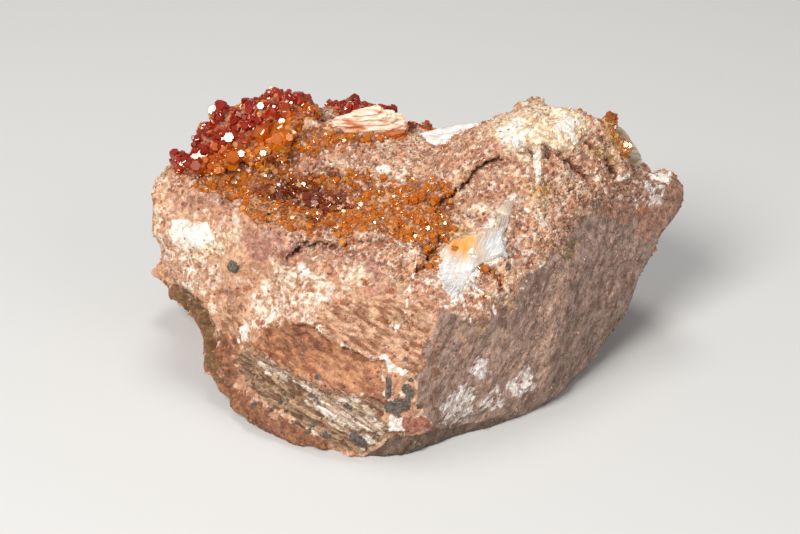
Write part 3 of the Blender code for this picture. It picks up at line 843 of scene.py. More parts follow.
@dataclass(frozen=True)
class StudioPaper:
    """Matt pale card under the specimen."""

    name: str = "matt_pale_card"
    tone: str = "D2D0CC"
    roughness: float = 0.85

    def material(self) -> bpy.types.Material:
        """Builds the floor's material."""
        material, shader = blank_material(self.name)
        feed(shader, {"Base Color": colour(self.tone), "Roughness": self.roughness})
        return material


# ---------------------------------------------------------------------------------------------------------
# The carrier rock
# ---------------------------------------------------------------------------------------------------------


@dataclass(frozen=True)
class Patch:
    """A coloured area of the rock, by the outline that the camera sees, in pixels."""

    mark: str
    outline: tuple[Pixel, ...]
    soften: float = 0.6
    wobble: float = 0.8
    strength: float = 1.0


@dataclass(frozen=True)
class Streak:
    """A coloured line or spot of the rock, by the path that the camera sees, in pixels, and its half
    width in mm."""

    mark: str
    path: tuple[Pixel, ...]
    half_width: float
    wobble: float = 0.25
    strength: float = 1.0


@dataclass(frozen=True)
class Crack:
    """A natural crack, ledge or hole, by the path that the camera sees, in pixels, its half width and its depth
    in mm. A negative depth is a ridge or a grain that stands proud."""

    path: tuple[Pixel, ...]
    half_width: float
    depth: float
    wobble: float = 0.35


PATCHES = (
    # The granular top, up to where the smooth broken face begins, and the calmer front.
    Patch("grainy", ((440, 300), (458, 318), (480, 318), (505, 304), (520, 290), (530, 274), (545, 266),
        (560, 250), (575, 222), (590, 208), (606, 206), (622, 212), (640, 214), (650, 198), (650, 176),
        (650, 140), (640, 80), (470, 80), (380, 200)), 1.8, 0.9),
    Patch("calm", ((140, 190), (240, 205), (300, 262), (372, 268), (430, 300), (434, 440), (360, 470),
        (240, 470), (130, 420)), 2.0, 1.0),
    # Cream, pink and mauve areas of the front.
    Patch("cream", ((158, 225), (215, 215), (232, 232), (226, 250), (205, 262), (180, 268), (165, 262)), 1.2,
        1.2, 0.6),
    Patch("cream", ((285, 262), (300, 258), (330, 268), (340, 296), (345, 318), (318, 330), (285, 322),
        (262, 326), (248, 342), (238, 332), (246, 308), (250, 285), (268, 272)), 1.4, 1.4, 0.7),
    Patch("cream", ((340, 262), (366, 262), (372, 284), (360, 300), (342, 296)), 1.4, 1.2, 0.5),
    Patch("cream", ((178, 270), (212, 268), (226, 280), (220, 292), (196, 296), (182, 284)), 1.0, 1.2, 0.6),
    Patch("mauve", ((238, 226), (262, 228), (300, 240), (318, 250), (304, 262), (280, 262), (250, 262),
        (240, 250)), 1.6, 1.2, 0.7),
    Patch("mauve", ((310, 246), (352, 244), (378, 240), (392, 262), (388, 300), (366, 300), (350, 262),
        (326, 262)), 1.6, 1.4, 0.5),
    Patch("mauve", ((218, 288), (236, 290), (242, 312), (226, 316)), 1.2, 1.0, 0.6),
    Patch("mauve", ((166, 196), (214, 188), (238, 200), (228, 215), (190, 213), (166, 209)), 1.4, 1.2, 0.55),
    Patch("butter", ((150, 198), (160, 194), (166, 214), (168, 242), (154, 240)), 1.0, 1.0, 0.5),
    Patch("flow", ((318, 304), (346, 296), (384, 300), (424, 306), (430, 340), (424, 372), (388, 360),
        (350, 347), (330, 338), (314, 326)), 1.4, 1.0, 0.9),
    Patch("flow", ((222, 300), (244, 300), (246, 340), (236, 372), (224, 392), (216, 360)), 1.2, 1.0, 0.7),
    Patch("flow", ((404, 372), (428, 345), (434, 385), (424, 412), (412, 416)), 0.9, 0.8, 0.7),
    Patch("white", ((166, 234), (176, 222), (188, 218), (204, 221), (213, 230), (222, 239), (216, 244),
        (203, 242), (190, 246), (176, 242)), 0.9, 0.8),
    Patch("cream", ((160, 245), (215, 246), (205, 258), (185, 264), (168, 258)), 0.9, 0.9, 0.8),
    # The summit's white crust and its tongue.
    Patch("white", ((503, 130), (511, 117), (521, 116), (528, 126), (525, 144), (514, 149), (503, 143)), 0.9,
        1.1, 0.8),
    Patch("white", ((550, 122), (562, 113), (574, 120), (580, 134), (575, 143), (560, 139)), 0.9, 1.1, 0.75),
    Patch("butter", ((488, 130), (502, 114), (530, 102), (575, 103), (588, 120), (586, 140), (574, 152),
        (540, 156), (508, 152)), 1.2, 1.2, 0.85),
    Patch("butter", ((190, 246), (214, 228), (240, 228), (236, 244), (214, 258), (196, 262)), 1.2, 1.0, 0.6),
    Patch("butter", ((344, 264), (364, 264), (368, 282), (352, 292)), 1.2, 1.0, 0.55),
    # Silky bed under and round the sheaf.
    Patch("white", ((436, 264), (444, 250), (458, 252), (472, 240), (485, 224), (500, 204), (513, 192),
        (517, 200), (508, 214), (500, 232), (506, 254), (498, 264), (480, 270), (470, 286), (458, 301),
        (446, 300), (440, 285)), 0.9, 0.6, 0.9),
    Patch("white", ((430, 290), (436, 256), (446, 244), (474, 226), (500, 200), (514, 210), (508, 236),
        (522, 262), (500, 276), (480, 288), (462, 308), (444, 310)), 1.6, 1.4, 0.45),
    Patch("ochre", ((490, 306), (508, 296), (520, 288), (524, 300), (512, 316), (494, 322)), 1.4, 1.2, 0.45),
    Patch("ochre", ((562, 252), (568, 240), (574, 242), (571, 258)), 1.0, 1.0, 0.45),
    Patch("ochre", ((443, 242), (447, 229), (462, 224), (477, 230), (478, 244)), 0.8, 0.6, 0.95),
    Patch("ochre", ((452, 322), (490, 318), (500, 334), (470, 350), (450, 345)), 1.4, 1.2, 0.35),
    # Iron-orange rock round the crystals.
    Patch("orange", ((168, 166), (200, 150), (240, 150), (290, 132), (330, 126), (402, 126), (406, 136),
        (335, 148), (306, 160), (300, 185), (262, 204), (232, 200), (205, 186), (180, 180)), 1.0, 1.2),
    Patch("orange", ((234, 190), (262, 172), (300, 174), (345, 174), (400, 182), (444, 180), (452, 205),
        (450, 242), (436, 258), (410, 246), (384, 230), (352, 238), (310, 232), (276, 224), (252, 212),
        (238, 202)), 1.0, 1.2),
    Patch("ochre", ((522, 182), (545, 178), (556, 190), (548, 210), (530, 204)), 1.2, 0.9, 0.6),
    Patch("dark", ((258, 190), (290, 182), (322, 186), (344, 196), (344, 214), (318, 222), (288, 214),
        (258, 208)), 1.2, 1.0),
    Patch("dark", ((266, 158), (287, 156), (287, 180), (266, 182)), 1.0, 0.8, 0.6),
    # The orange-brown flake scar, its shaded upper facet and the brick-red block.
    Patch("scar", ((248, 350), (262, 330), (286, 322), (313, 326), (324, 340), (345, 347), (362, 357),
        (386, 362), (384, 382), (386, 402), (374, 399), (348, 393), (326, 386), (300, 374), (278, 364),
        (260, 354)), 0.8, 0.8),
    Patch("shade", ((258, 342), (270, 332), (292, 326), (313, 330), (326, 342), (334, 350), (316, 356),
        (290, 354), (268, 350)), 1.2, 0.8),
    Patch("brick", ((402, 418), (428, 416), (432, 428), (410, 434), (400, 428)), 0.5, 0.4),
    # Brown sugary rock below and left of the layers, and painted shade on the bevel under the corner.
    Patch("earth", ((222, 330), (240, 345), (238, 385), (262, 402), (300, 424), (330, 446), (340, 456),
        (300, 456), (250, 440), (215, 400), (212, 350)), 1.6, 1.2, 0.85),
    Patch("earth", ((165, 275), (186, 290), (208, 312), (218, 340), (222, 400), (205, 395), (200, 340),
        (160, 300)), 1.2, 0.8, 0.8),
    Patch("earth", ((430, 340), (446, 332), (440, 372), (438, 410), (428, 414)), 1.2, 0.9, 0.5),
    Patch("bevel_shade", ((366, 456), (384, 445), (388, 438), (404, 437), (432, 431), (470, 424), (520, 412),
        (480, 436), (440, 450), (400, 462)), 0.5, 0.4),
    # Layered foot: cream and grey streaks.
    Patch("streak", ((244, 345), (262, 354), (300, 378), (346, 396), (386, 402), (388, 418), (402, 430),
        (386, 434), (384, 442), (366, 450), (340, 452), (318, 432), (290, 418), (262, 402), (246, 384),
        (238, 362)), 0.9, 0.9),
    Patch("silk", ((300, 382), (346, 395), (362, 402), (386, 419), (402, 426), (400, 433), (386, 433),
        (384, 442), (368, 449), (350, 440), (326, 424), (310, 405)), 1.0, 1.0, 0.6),
    Patch("silk", ((256, 352), (290, 372), (300, 384), (284, 382), (258, 366)), 0.9, 0.8, 0.55),
    Patch("white", ((386, 412), (402, 417), (408, 436), (388, 432)), 0.6, 0.5, 0.8),
    # Olive strip inside the left ledge.
    Patch("olive", ((172, 280), (186, 288), (202, 306), (212, 326), (216, 352), (220, 380), (206, 374),
        (205, 350), (203, 336), (196, 318), (180, 300)), 0.9, 0.7, 0.7),
    # The broken face: its left facet and the low ridge across it are painted lighter, partly their own colour
    # and partly painted light on the facet turned towards the light; and its flecks.
    Patch("ledge", ((440, 330), (480, 330), (505, 320), (530, 292), (556, 270), (572, 248), (566, 300),
        (553, 345), (538, 392), (500, 404), (440, 420)), 2.0, 1.6, 0.45),
    Patch("ledge", ((572, 240), (576, 262), (566, 310), (554, 350), (540, 392), (528, 396), (540, 350),
        (552, 300), (562, 260)), 1.0, 0.8, 0.6),
    Patch("ledge", ((610, 230), (650, 224), (650, 250), (620, 300), (606, 330), (600, 290)), 2.5, 1.6, 0.4),
    Patch("fleck", ((468, 372), (478, 358), (490, 358), (488, 372), (474, 380)), 0.8, 0.7, 0.8),
    Patch("fleck", ((438, 424), (446, 396), (458, 382), (474, 384), (474, 404), (462, 428)), 1.0, 0.8, 0.62),
    Patch("fleck", ((470, 412), (484, 396), (504, 386), (508, 402), (488, 418)), 1.0, 0.8, 0.58),
    Patch("fleck", ((504, 394), (512, 374), (530, 366), (536, 384), (520, 396)), 0.8, 0.7, 0.7),
    # The granular rock darkens and turns rosy towards the broken face.
    Patch("rose", ((478, 322), (505, 304), (530, 274), (548, 264), (564, 248), (578, 220), (592, 206),
        (612, 202), (604, 180), (580, 190), (562, 215), (545, 240), (520, 260), (500, 286), (476, 300)), 2.2,
        1.4, 0.6),
    # The lobe at the right end: rosy, with white haze and an orange place.
    Patch("rose", ((606, 186), (640, 172), (652, 172), (672, 174), (684, 192), (682, 216), (664, 242),
        (646, 240), (636, 222), (600, 216), (590, 206)), 1.6, 1.0, 1.0),
    Patch("white", ((648, 172), (672, 172), (676, 180), (662, 184), (650, 181)), 0.7, 0.5, 0.7),
    Patch("fleck", ((622, 204), (630, 193), (638, 194), (636, 207)), 0.7, 0.6, 0.6),
    Patch("fleck", ((642, 200), (646, 178), (662, 182), (664, 202), (650, 208)), 0.9, 0.7, 0.55),
    Patch("scar", ((626, 204), (650, 203), (654, 215), (632, 218)), 1.2, 0.8, 0.6),
)

STREAKS = (
    Streak("white", ((537, 152), (538, 178)), 0.45),
    Streak("white", ((416, 264), (410, 288), (405, 314)), 0.16, 0.1, 0.8),
    Streak("white", ((462, 298), (466, 310), (471, 322)), 0.16, 0.1, 0.7),
    Streak("white", ((474, 286), (488, 296), (497, 314)), 0.22, 0.2, 0.7),
    Streak("white", ((520, 290), (532, 272), (545, 262)), 0.3, 0.2, 0.45),
    Streak("white", ((508, 198), (528, 212), (545, 226)), 0.3, 0.25, 0.5),
    Streak("white", ((303, 266), (308, 276)), 0.6, 0.5, 0.7),
    Streak("white", ((312, 296), (322, 300)), 0.6, 0.5, 0.7),
    Streak("white", ((318, 284),), 0.5, 0.4, 0.6),
    Streak("white", ((276, 312), (270, 320)), 0.6, 0.5, 0.6),
    Streak("white", ((245, 328), (243, 338)), 0.6, 0.5, 0.7),
    Streak("white", ((186, 272), (192, 270)), 0.6, 0.5, 0.7),
    Streak("white", ((184, 284), (190, 288)), 0.6, 0.5, 0.6),
    Streak("white", ((318, 330),), 0.6, 0.3, 0.8),
    Streak("white", ((384, 358), (392, 368), (404, 372)), 0.5, 0.3, 0.8),
    Streak("white", ((396, 328), (404, 324)), 0.8, 0.6, 0.4),
    Streak("white", ((378, 172), (386, 168)), 0.7, 0.3, 0.6),
    Streak("white", ((628, 176), (620, 178)), 0.5, 0.3, 0.6),
    Streak("white", ((514, 386), (514, 394)), 0.45, 0.3, 0.8),
    Streak("white", ((524, 386), (528, 382)), 0.45, 0.3, 0.8),
    Streak("white", ((446, 418), (456, 408), (466, 398)), 0.5, 0.4, 0.5),
    Streak("fracture", ((446, 305), (436, 330), (424, 352)), 0.7, 0.3, 0.5),
    Streak("white", ((342, 344), (362, 353), (384, 360), (403, 371)), 0.28, 0.5, 0.6),
    Streak("white", ((262, 328), (286, 319), (312, 323)), 0.3, 0.4, 0.4),
    Streak("ore", ((526, 146), (531, 150)), 0.42, 0.25, 0.7),
    Streak("ore", ((545, 147), (546, 152)), 0.36, 0.2, 0.7),
    Streak("ore", ((234, 266),), 0.95, 0.15),
    Streak("ore", ((388, 381), (389, 396)), 0.5, 0.3),
    Streak("ore", ((392, 407), (404, 406)), 1.05, 0.5),
    Streak("ore", ((398, 414),), 0.6, 0.3),
    Streak("ore", ((406, 388), (410, 394)), 0.6, 0.25),
    Streak("ore", ((420, 406),), 0.5, 0.2),
    Streak("ore", ((411, 380),), 0.35, 0.15),
    Streak("ore", ((405, 359),), 0.35, 0.15),
    Streak("ore", ((318, 377),), 0.55, 0.2, 0.8),
    Streak("ore", ((310, 395),), 0.38, 0.15),
    Streak("ore", ((316, 399),), 0.42, 0.15),
    Streak("ore", ((285, 394),), 0.35, 0.15),
    Streak("ore", ((281, 402),), 0.35, 0.15),
    Streak("ore", ((286, 411),), 0.35, 0.15),
    Streak("ore", ((272, 410),), 0.42, 0.2, 0.8),
    Streak("ore", ((254, 405),), 0.45, 0.2, 0.8),
    Streak("ore", ((313, 423),), 0.55, 0.25, 0.9),
    Streak("ore", ((309, 431),), 0.4, 0.15),
    Streak("ore", ((325, 433), (330, 437)), 0.32, 0.15),
    Streak("ore", ((346, 405), (350, 408)), 0.35, 0.15),
    Streak("ore", ((354, 436), (362, 443)), 0.7, 0.35),
    Streak("ore", ((378, 441),), 0.28, 0.1),
    Streak("ore", ((335, 396),), 0.2, 0.08),
    Streak("ore", ((222, 380), (228, 390)), 0.25, 0.12, 0.7),
    Streak("ore", ((508, 267),), 0.45, 0.2),
    Streak("ore", ((484, 214),), 0.3, 0.15, 0.8),
    Streak("ore", ((374, 430),), 0.25, 0.1, 0.7),
    Streak("orange", ((366, 283),), 0.45, 0.2),
    Streak("orange", ((350, 418), (353, 420)), 0.3, 0.3, 0.7),
    Streak("orange", ((345, 442), (356, 450)), 0.7, 0.5, 0.8),
    Streak("orange", ((420, 268), (434, 264)), 0.7, 0.4, 0.7),
    Streak("orange", ((480, 268), (500, 278), (502, 290)), 0.6, 0.4, 0.8),
    Streak("orange", ((486, 296),), 0.5, 0.2, 0.8),
    Streak("ochre", ((592, 148), (612, 160)), 1.2, 0.6, 0.6),
    Streak("orange", ((532, 184), (540, 190)), 0.6, 0.6, 0.4),
    Streak("olive", ((600, 139),), 0.5, 0.2, 0.9),
    Streak("olive", ((570, 244), (568, 256)), 0.7, 0.4, 0.6),
    Streak("cream", ((622, 174), (630, 176)), 0.6, 0.3, 0.9),
)

CRACKS = (
    Crack(((290, 258), (296, 252), (304, 246), (322, 245), (334, 246)), 0.34, 1.1, 0.45),
    Crack(((345, 244), (360, 241), (378, 240), (386, 242)), 0.24, 0.8, 0.4),
    Crack(((440, 203), (450, 198), (460, 190), (470, 181), (478, 168), (486, 164), (500, 160)), 0.3, 1.1,
        0.45),
    Crack(((326, 169), (332, 174), (339, 178)), 0.3, 0.8),
    Crack(((568, 162), (576, 168), (586, 178)), 0.3, 0.8),
    Crack(((606, 160), (610, 167), (616, 175)), 0.32, 0.9),
    Crack(((428, 256), (437, 250), (443, 240), (446, 228)), 0.5, 1.2),
    Crack(((418, 270), (428, 264), (437, 268)), 0.42, 0.9),
    Crack(((480, 266), (490, 269), (498, 277), (503, 290)), 0.5, 0.9),
    Crack(((524, 143), (530, 150), (534, 154)), 0.55, 1.4),
    Crack(((544, 144), (547, 153)), 0.5, 1.4),
    Crack(((550, 157), (562, 154)), 0.3, 0.6),
    Crack(((455, 208), (465, 214), (476, 217)), 0.3, 0.5),
    Crack(((510, 192), (506, 206), (498, 214)), 0.25, 0.4),
    Crack(((572, 190), (584, 196)), 0.35, 0.7),
    Crack(((588, 142), (597, 150)), 0.3, 0.6),
    Crack(((262, 333), (286, 325), (313, 329), (324, 342), (345, 349), (362, 358), (384, 364)), 0.34, 0.8,
        0.4),
    Crack(((246, 345), (262, 355), (300, 379), (346, 397), (384, 403)), 0.3, 0.6, 0.4),
    Crack(((252, 372), (284, 392), (318, 414), (352, 430), (380, 436)), 0.24, 0.5, 0.35),
    Crack(((266, 366), (300, 388), (340, 408), (372, 418)), 0.2, 0.4, 0.3),
    Crack(((250, 352), (256, 362), (250, 370)), 0.3, 0.4),
    Crack(((404, 346), (407, 348)), 0.3, 0.5),
    Crack(((404, 318), (406, 322)), 0.28, 0.5),
    Crack(((218, 293), (228, 296), (240, 296)), 0.35, 0.4),
    Crack(((160, 262), (180, 290), (200, 305), (210, 325), (213, 345)), 0.5, 0.6),
    Crack(((374, 272), (378, 278)), 0.3, 0.5),
    Crack(((396, 278), (403, 277)), 0.3, 0.5),
    Crack(((220, 380), (224, 388), (230, 392)), 0.25, 0.4),
    Crack(((234, 266),), 0.9, -0.5, 0.1),
    Crack(((386, 432), (396, 434), (408, 435)), 0.3, 0.5),
    # The low ridge between the two facets of the broken face.
    Crack(((574, 246), (566, 300), (553, 345), (538, 392)), 1.6, -0.3, 0.3),
)


@dataclass
class MatrixRock:
    """The carrier rock: the CAD solid's shape with its grains, cracks, ledges and coloured patches."""

    sight: Sightline
    finish: SugaryRock = field(default_factory=SugaryRock)
    cell: float = 0.385
    rounding: int = 7
    # The broken face: the way it looks, and the corner line of the front that bounds it, as X over Z.
    break_way: Point = (0.66, -0.75, 0.0)
    corner_heights: tuple[float, ...] = (0.0, 2.5, 4.0, 6.0, 9.0, 12.0, 17.0, 20.0, 24.0)
    corner_across: tuple[float, ...] = (1.0, 1.8, 3.0, 1.2, 0.2, 0.5, 2.6, 3.5, 5.5)
    # Lumps, clumps of grains and single grains: their sizes and heights.
    lump_size: float = 4.5
    lump_height: float = 0.30
    clump_size: float = 1.6
    clump_height: float = 0.26
    grain_size: float = 0.8
    grain_height: float = 0.12
    # The height of the broken layers' edges, and how far the rock swells up under a crust.
    layer_height: float = 0.32
    bed_rise: float = 0.45
    # The sizes of the broken, cream, orange and ore areas on the sides that face away.
    hidden_break: float = 16.0
    hidden_cream: float = 7.0
    hidden_orange: float = 6.0
    hidden_ore: float = 2.6
    skin: Skin | None = None
    marks: dict[str, np.ndarray] = field(default_factory=dict)

    def paint_marks(self, points: np.ndarray, seen: np.ndarray) -> dict[str, np.ndarray]:
        """Finds how strongly each point carries each colour.

        Args:
            points: The rock's points in mm.
            seen: 1 where a point faces the camera.

        Returns:
            Numbers from 0 to 1 by mark.
        """
        names = [tint.mark for tint in self.finish.tints] + ["grainy", "calm"]
        marks = {name: np.zeros(len(points)) for name in names}
        pixels = self.sight.pixels(points)
        scale = self.sight.pixels_in_mm(points)
        drift = rough_waves(points / 2.2, 401, 3)
        fray = rough_waves(points / 0.9, 402, 2)
        for patch in PATCHES:
            wobble = patch.wobble * (drift + 0.4 * fray)
            share = outlined(pixels, scale, patch.outline, patch.soften, wobble) * patch.strength * seen
            marks[patch.mark] = np.maximum(marks[patch.mark], share)
        for streak in STREAKS:
            reach = path_distance(pixels, np.array(streak.path, float)) / scale + streak.wobble * fray
            share = eased(1.5 - reach / streak.half_width) * streak.strength * seen
            marks[streak.mark] = np.maximum(marks[streak.mark], share)
        return marks

    def sink(self, points: np.ndarray, seen: np.ndarray) -> np.ndarray:
        """How far the cracks, ledges and holes sink each point, in mm.

        Args:
            points: The rock's points in mm.
            seen: 1 where a point faces the camera.

        Returns:
            Depths, negative where a grain stands proud.
        """
        pixels = self.sight.pixels(points)
        scale = self.sight.pixels_in_mm(points)
        fray = rough_waves(points / 0.8, 403, 2)
        depth = np.zeros(len(points))
        for crack in CRACKS:
            reach = path_distance(pixels, np.array(crack.path, float)) / scale + crack.wobble * fray
            depth += crack.depth * eased(1.4 - reach / crack.half_width) * seen
        return depth

    def broken_face(self, points: np.ndarray, broad: np.ndarray) -> np.ndarray:
        """1 on the smooth broken face on the right, 0 off it."""
        squarely = eased((broad @ np.array(self.break_way) - 0.42) / 0.16)
        corner = np.interp(points[:, 2], self.corner_heights, self.corner_across)
        return squarely * eased((points[:, 0] - corner + 0.9 * rough_waves(points / 1.8, 404)) / 1.0 + 0.5)

    def build(self, beds: list[BVHTree]) -> bpy.types.Object:
        """Shapes the rock, marks its colours and dresses it.

        Args:
            beds: The crystal crusts' skins, which the rock swells up to meet.

        Returns:
            The finished piece.
        """
        skin = evened(node_solid("matrix"), self.cell, self.rounding)
        points = skin.points
        normals = skin.normals()
        broad = skin.relaxed(normals, 14)
        broad /= np.maximum(np.linalg.norm(broad, axis=1, keepdims=True), 1e-9)
        seen = eased(self.sight.facing(points, broad) / 0.12 + 0.6)
        flat = eased((0.45 - points[:, 2]) / 0.3) * (broad[:, 2] < -0.7)
        marks = self.paint_marks(points, seen)
        broken = self.broken_face(points, broad) * (1.0 - marks.pop("grainy"))
        calm = marks["calm"]
        away = 1.0 - seen
        # The sides that face away are half granular and half broken, in large irregular areas.
        swell = rough_waves(points / self.hidden_break, 405, 2)
        back_break = eased(0.5 + 1.2 * swell - 0.5 * broad[:, 2]) * away
        stained = 0.6 * eased(2.0 * rough_waves(points / self.hidden_orange, 407) - 0.45) * away
        for mark, share in (
                ("fracture", np.maximum(broken, 0.85 * back_break)),
                ("cream", 0.6 * eased(1.4 * rough_waves(points / self.hidden_cream, 406)) * away),
                ("orange", stained * (1.0 - back_break)),
                ("ore", eased(5.0 * rough_waves(points / self.hidden_ore, 408, 2) - 3.1) * away)):
            marks[mark] = np.maximum(marks[mark], share)
        smooth = 0.9 * np.maximum(marks["fracture"], broken)
        for mark, share in (("scar", 0.75), ("white", 0.6), ("butter", 0.5)):
            smooth = smooth + share * marks[mark]
        smooth = np.clip(smooth, 0.0, 1.0)
        loose = (1.0 - smooth) * (1.0 - 0.45 * calm)

        lumps = rough_waves(points / self.lump_size, 409, 3)
        bent = 0.35 * rough_waves(points / 1.3, 410, 2)[:, None]
        nearest, second, number = grains(points / self.clump_size + bent, 411)
        clumps = eased((second - nearest) / 0.35) - 0.6 + 0.9 * (number - 0.5)
        near_grain, _, grain_number = grains(points / self.grain_size, 412)
        single = (0.55 - near_grain) + 0.5 * (grain_number - 0.5)
        rise = self.lump_height * lumps * (0.35 + 0.65 * loose)
        rise += self.clump_height * clumps * loose
        rise += self.grain_height * single * (0.15 + 0.85 * loose)
        for run, mark, size, height in (
                (FOOT_RUN, np.maximum(marks["streak"], 0.5 * marks["flow"]), 0.9, 1.3 * self.layer_height),
                (FACE_RUN, marks["fracture"], 1.3, 0.4 * self.layer_height)):
            along = points @ np.array(run)
            drawn = points - 0.86 * along[:, None] * np.array(run)
            rise += height * rough_waves(drawn / size, 413, 3) * mark
        rise += 0.12 * rough_waves(points / 2.4, 414, 3) * marks["scar"]
        rise += 0.1 * marks["white"] - 0.15 * marks["orange"]
        rise -= self.sink(points, seen)
        if beds:
            near = np.array([
                min(bed.find_nearest(Vector(point), 2.0)[3] or 2.0 for bed in beds) for point in points])
            rise += self.bed_rise * eased(1.4 - near)
        moved = points + normals * (rise * (1.0 - flat))[:, None]
        moved[:, 2] = np.where(flat > 0.5, 0.0, np.maximum(moved[:, 2], 0.0))
        self.skin = Skin(moved, skin.faces)
        final = self.skin.normals()
        around = self.skin.relaxed(moved, 3) - moved
        hollow = np.clip(((around * final).sum(axis=1) - 0.035) / 0.10, 0.0, 1.0) * (0.25 + 0.75 * loose)
        marks["hollow"] = hollow * 0.85
        marks["smooth"] = np.maximum(smooth, np.maximum(0.7 * calm, 0.4 * marks["cream"]))
        self.marks = marks
        piece = place_object("matrix_surface", self.skin.mesh("matrix_surface", marks, MM))
        piece.data.materials.append(self.finish.material())
        piece.data.polygons.foreach_set("use_smooth", [True] * len(piece.data.polygons))
        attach(piece, "root")
        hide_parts("matrix")
        return piece


# ---------------------------------------------------------------------------------------------------------
# Crystals, by Geometry Nodes
# ---------------------------------------------------------------------------------------------------------


def new_tree(name: str, source: str, result: str, sizes: Sizes) -> bpy.types.NodeTree:
    """Starts a Geometry Nodes tree, with its inputs named.

    Args:
        name: The tree's name.
        source: What the mesh that goes in is called.
        result: What the mesh that comes out is called.
        sizes: The other inputs by name, each with the value that it will get.

    Returns:
        The tree, with an interface and no nodes.
    """
    tree = bpy.data.node_groups.new(name, "GeometryNodeTree")
    tree.interface.new_socket(source, in_out="INPUT", socket_type="NodeSocketGeometry")
    for title, value in sizes.items():
        kind = next(kind for made, kind in SOCKETS.items() if isinstance(value, made))
        tree.interface.new_socket(title, in_out="INPUT", socket_type=kind)
    tree.interface.new_socket(result, in_out="OUTPUT", socket_type="NodeSocketGeometry")
    return tree


def close_tree(tree: bpy.types.NodeTree, made: Socket, finish: Socket) -> None:
    """Ends a tree with real instances in their material."""
    real = add_node(tree, Step.REAL, made)
    add_node(tree, Step.RESULT, add_node(tree, Step.DRESSED, real, finish))


def grown(mesh: bpy.types.Mesh, tree: bpy.types.NodeTree, sizes: Sizes) -> bpy.types.Mesh:
    """Runs a Geometry Nodes tree on a mesh.

    Args:
        mesh: The mesh that goes in.
        tree: The tree.
        sizes: The values of its inputs by name.

    Returns:
        A plain mesh of what comes out.
    """
    obj = place_object(mesh.name, mesh)
    modifier = obj.modifiers.new("growth", "NODES")
    modifier.node_group = tree
    for item in tree.interface.items_tree:
        if item.in_out == "INPUT" and item.name in sizes:
            modifier[item.identifier] = sizes[item.name]
    return baked(obj)


@dataclass(frozen=True)
class CrystalGrowth:
    """How small crystals grow over a bed: their spacing, sizes and lean, all in mm."""

    spacing: float
    smallest: float
    largest: float
    shortest: float = 0.7
    longest: float = 1.5
    lean: float = 0.6
    sunk: float = 0.3
    seed: int = 1
    sides: int = 6
    keep_bed: bool = True
    # A prism of unit width and length: its straight part, and the bevel's height and how far it narrows.
    straight: float = 0.86
    bevel: float = 0.08
    narrowed: float = 0.86
    # How much rarer large crystals are than small ones, and the ends of their random, mostly forward, lean.
    rarity: float = 1.8
    lean_from: Point = (-1.1, -1.35, -0.9)
    lean_to: Point = (0.9, 0.65, 1.1)

    def tree(self, sizes: Sizes) -> bpy.types.NodeTree:
        """Builds the node tree that scatters bevelled prisms over its input mesh.

        Args:
            sizes: The tree's inputs by name.

        Returns:
            The node tree.
        """
        tree = new_tree("crystal_growth", "Bed", "Crystals", sizes)
        add = partial(add_node, tree)
        given = add(Step.GIVEN).node.outputs

        def chance(low: object, high: object, salt: int, step: Step = Step.CHANCE) -> Socket:
            """A random number or way for each crystal, apart from the others by its salt."""
            return add(step, low, high, add(Step.PLUS, given["Seed"], salt))

        packed = add(Step.OVER, 2.5, add(Step.TIMES, given["Spacing"], given["Spacing"]))
        crowd = add(Step.NAMED, "growth")
        spread = add(Step.SPREAD, given["Bed"], given["Spacing"], packed, crowd, given["Seed"])
        prism = add(Step.PRISM, self.sides, 0.5, self.straight)
        raised = add(Step.RAISED, prism, prism.node.outputs["Top"], self.bevel)
        bevelled = add(Step.NARROWED, raised, raised.node.outputs["Top"], self.narrowed)
        seat = add(Step.XYZ, None, None, add(Step.MINUS, self.straight / 2.0, given["Sunk"]))
        seated = add(Step.MOVED, bevelled, seat)
        growth = add(Step.TIMES, add(Step.POWER, chance(0.0, 1.0, 3), self.rarity),
                     add(Step.MINUS, given["Largest"], given["Smallest"]))
        width = add(Step.TIMES, add(Step.NAMED, "size"), add(Step.PLUS, given["Smallest"], growth))
        length = add(Step.TIMES, width, chance(given["Shortest"], given["Longest"], 5))
        tilt = add(Step.WAY_TIMES, chance(self.lean_from, self.lean_to, 7, Step.CHANCE_WAY), given["Lean"])
        upright = add(Step.UPRIGHT, add(Step.WAY_PLUS, spread.node.outputs["Normal"], tilt))
        spin = add(Step.SPIN, (0.0, 0.0, 1.0), chance(0.0, 2.0 * math.pi, 9))
        planted = add(
            Step.PLANTED, spread, seated, add(Step.TURNED, upright, spin), add(Step.XYZ, width, width, length))
        toned = add(Step.STORED, planted, "tone", chance(0.15, 1.0, 11))
        joined = add(Step.JOINED, add(Step.STORED, toned, "bed", 0.0))
        if self.keep_bed:
            tree.links.new(given["Bed"], joined.node.inputs[0])
        close_tree(tree, joined, given["Finish"])
        return tree

    def grow(
            self, name: str, bed: Skin, marks: dict[str, np.ndarray], finish: bpy.types.Material
    ) -> bpy.types.Object:
        """Grows the crystals on a bed.

        Args:
            name: The finished piece's name.
            bed: The bed's skin in mm.
            marks: Numbers at the bed's points: growth, size, warmth and tone.
            finish: The crystals' material.

        Returns:
            The piece, its mesh in metres.
        """
        sizes = {
            "Spacing": self.spacing, "Smallest": self.smallest, "Largest": self.largest,
            "Shortest": self.shortest, "Longest": self.longest, "Lean": self.lean, "Sunk": self.sunk,
            "Seed": self.seed, "Finish": finish}
        mesh = grown(bed.mesh(name + "_bed", marks), self.tree(sizes), sizes)
        mesh.name = name
        mesh.transform(Matrix.Scale(MM, 4))
        return place_object(name, mesh)


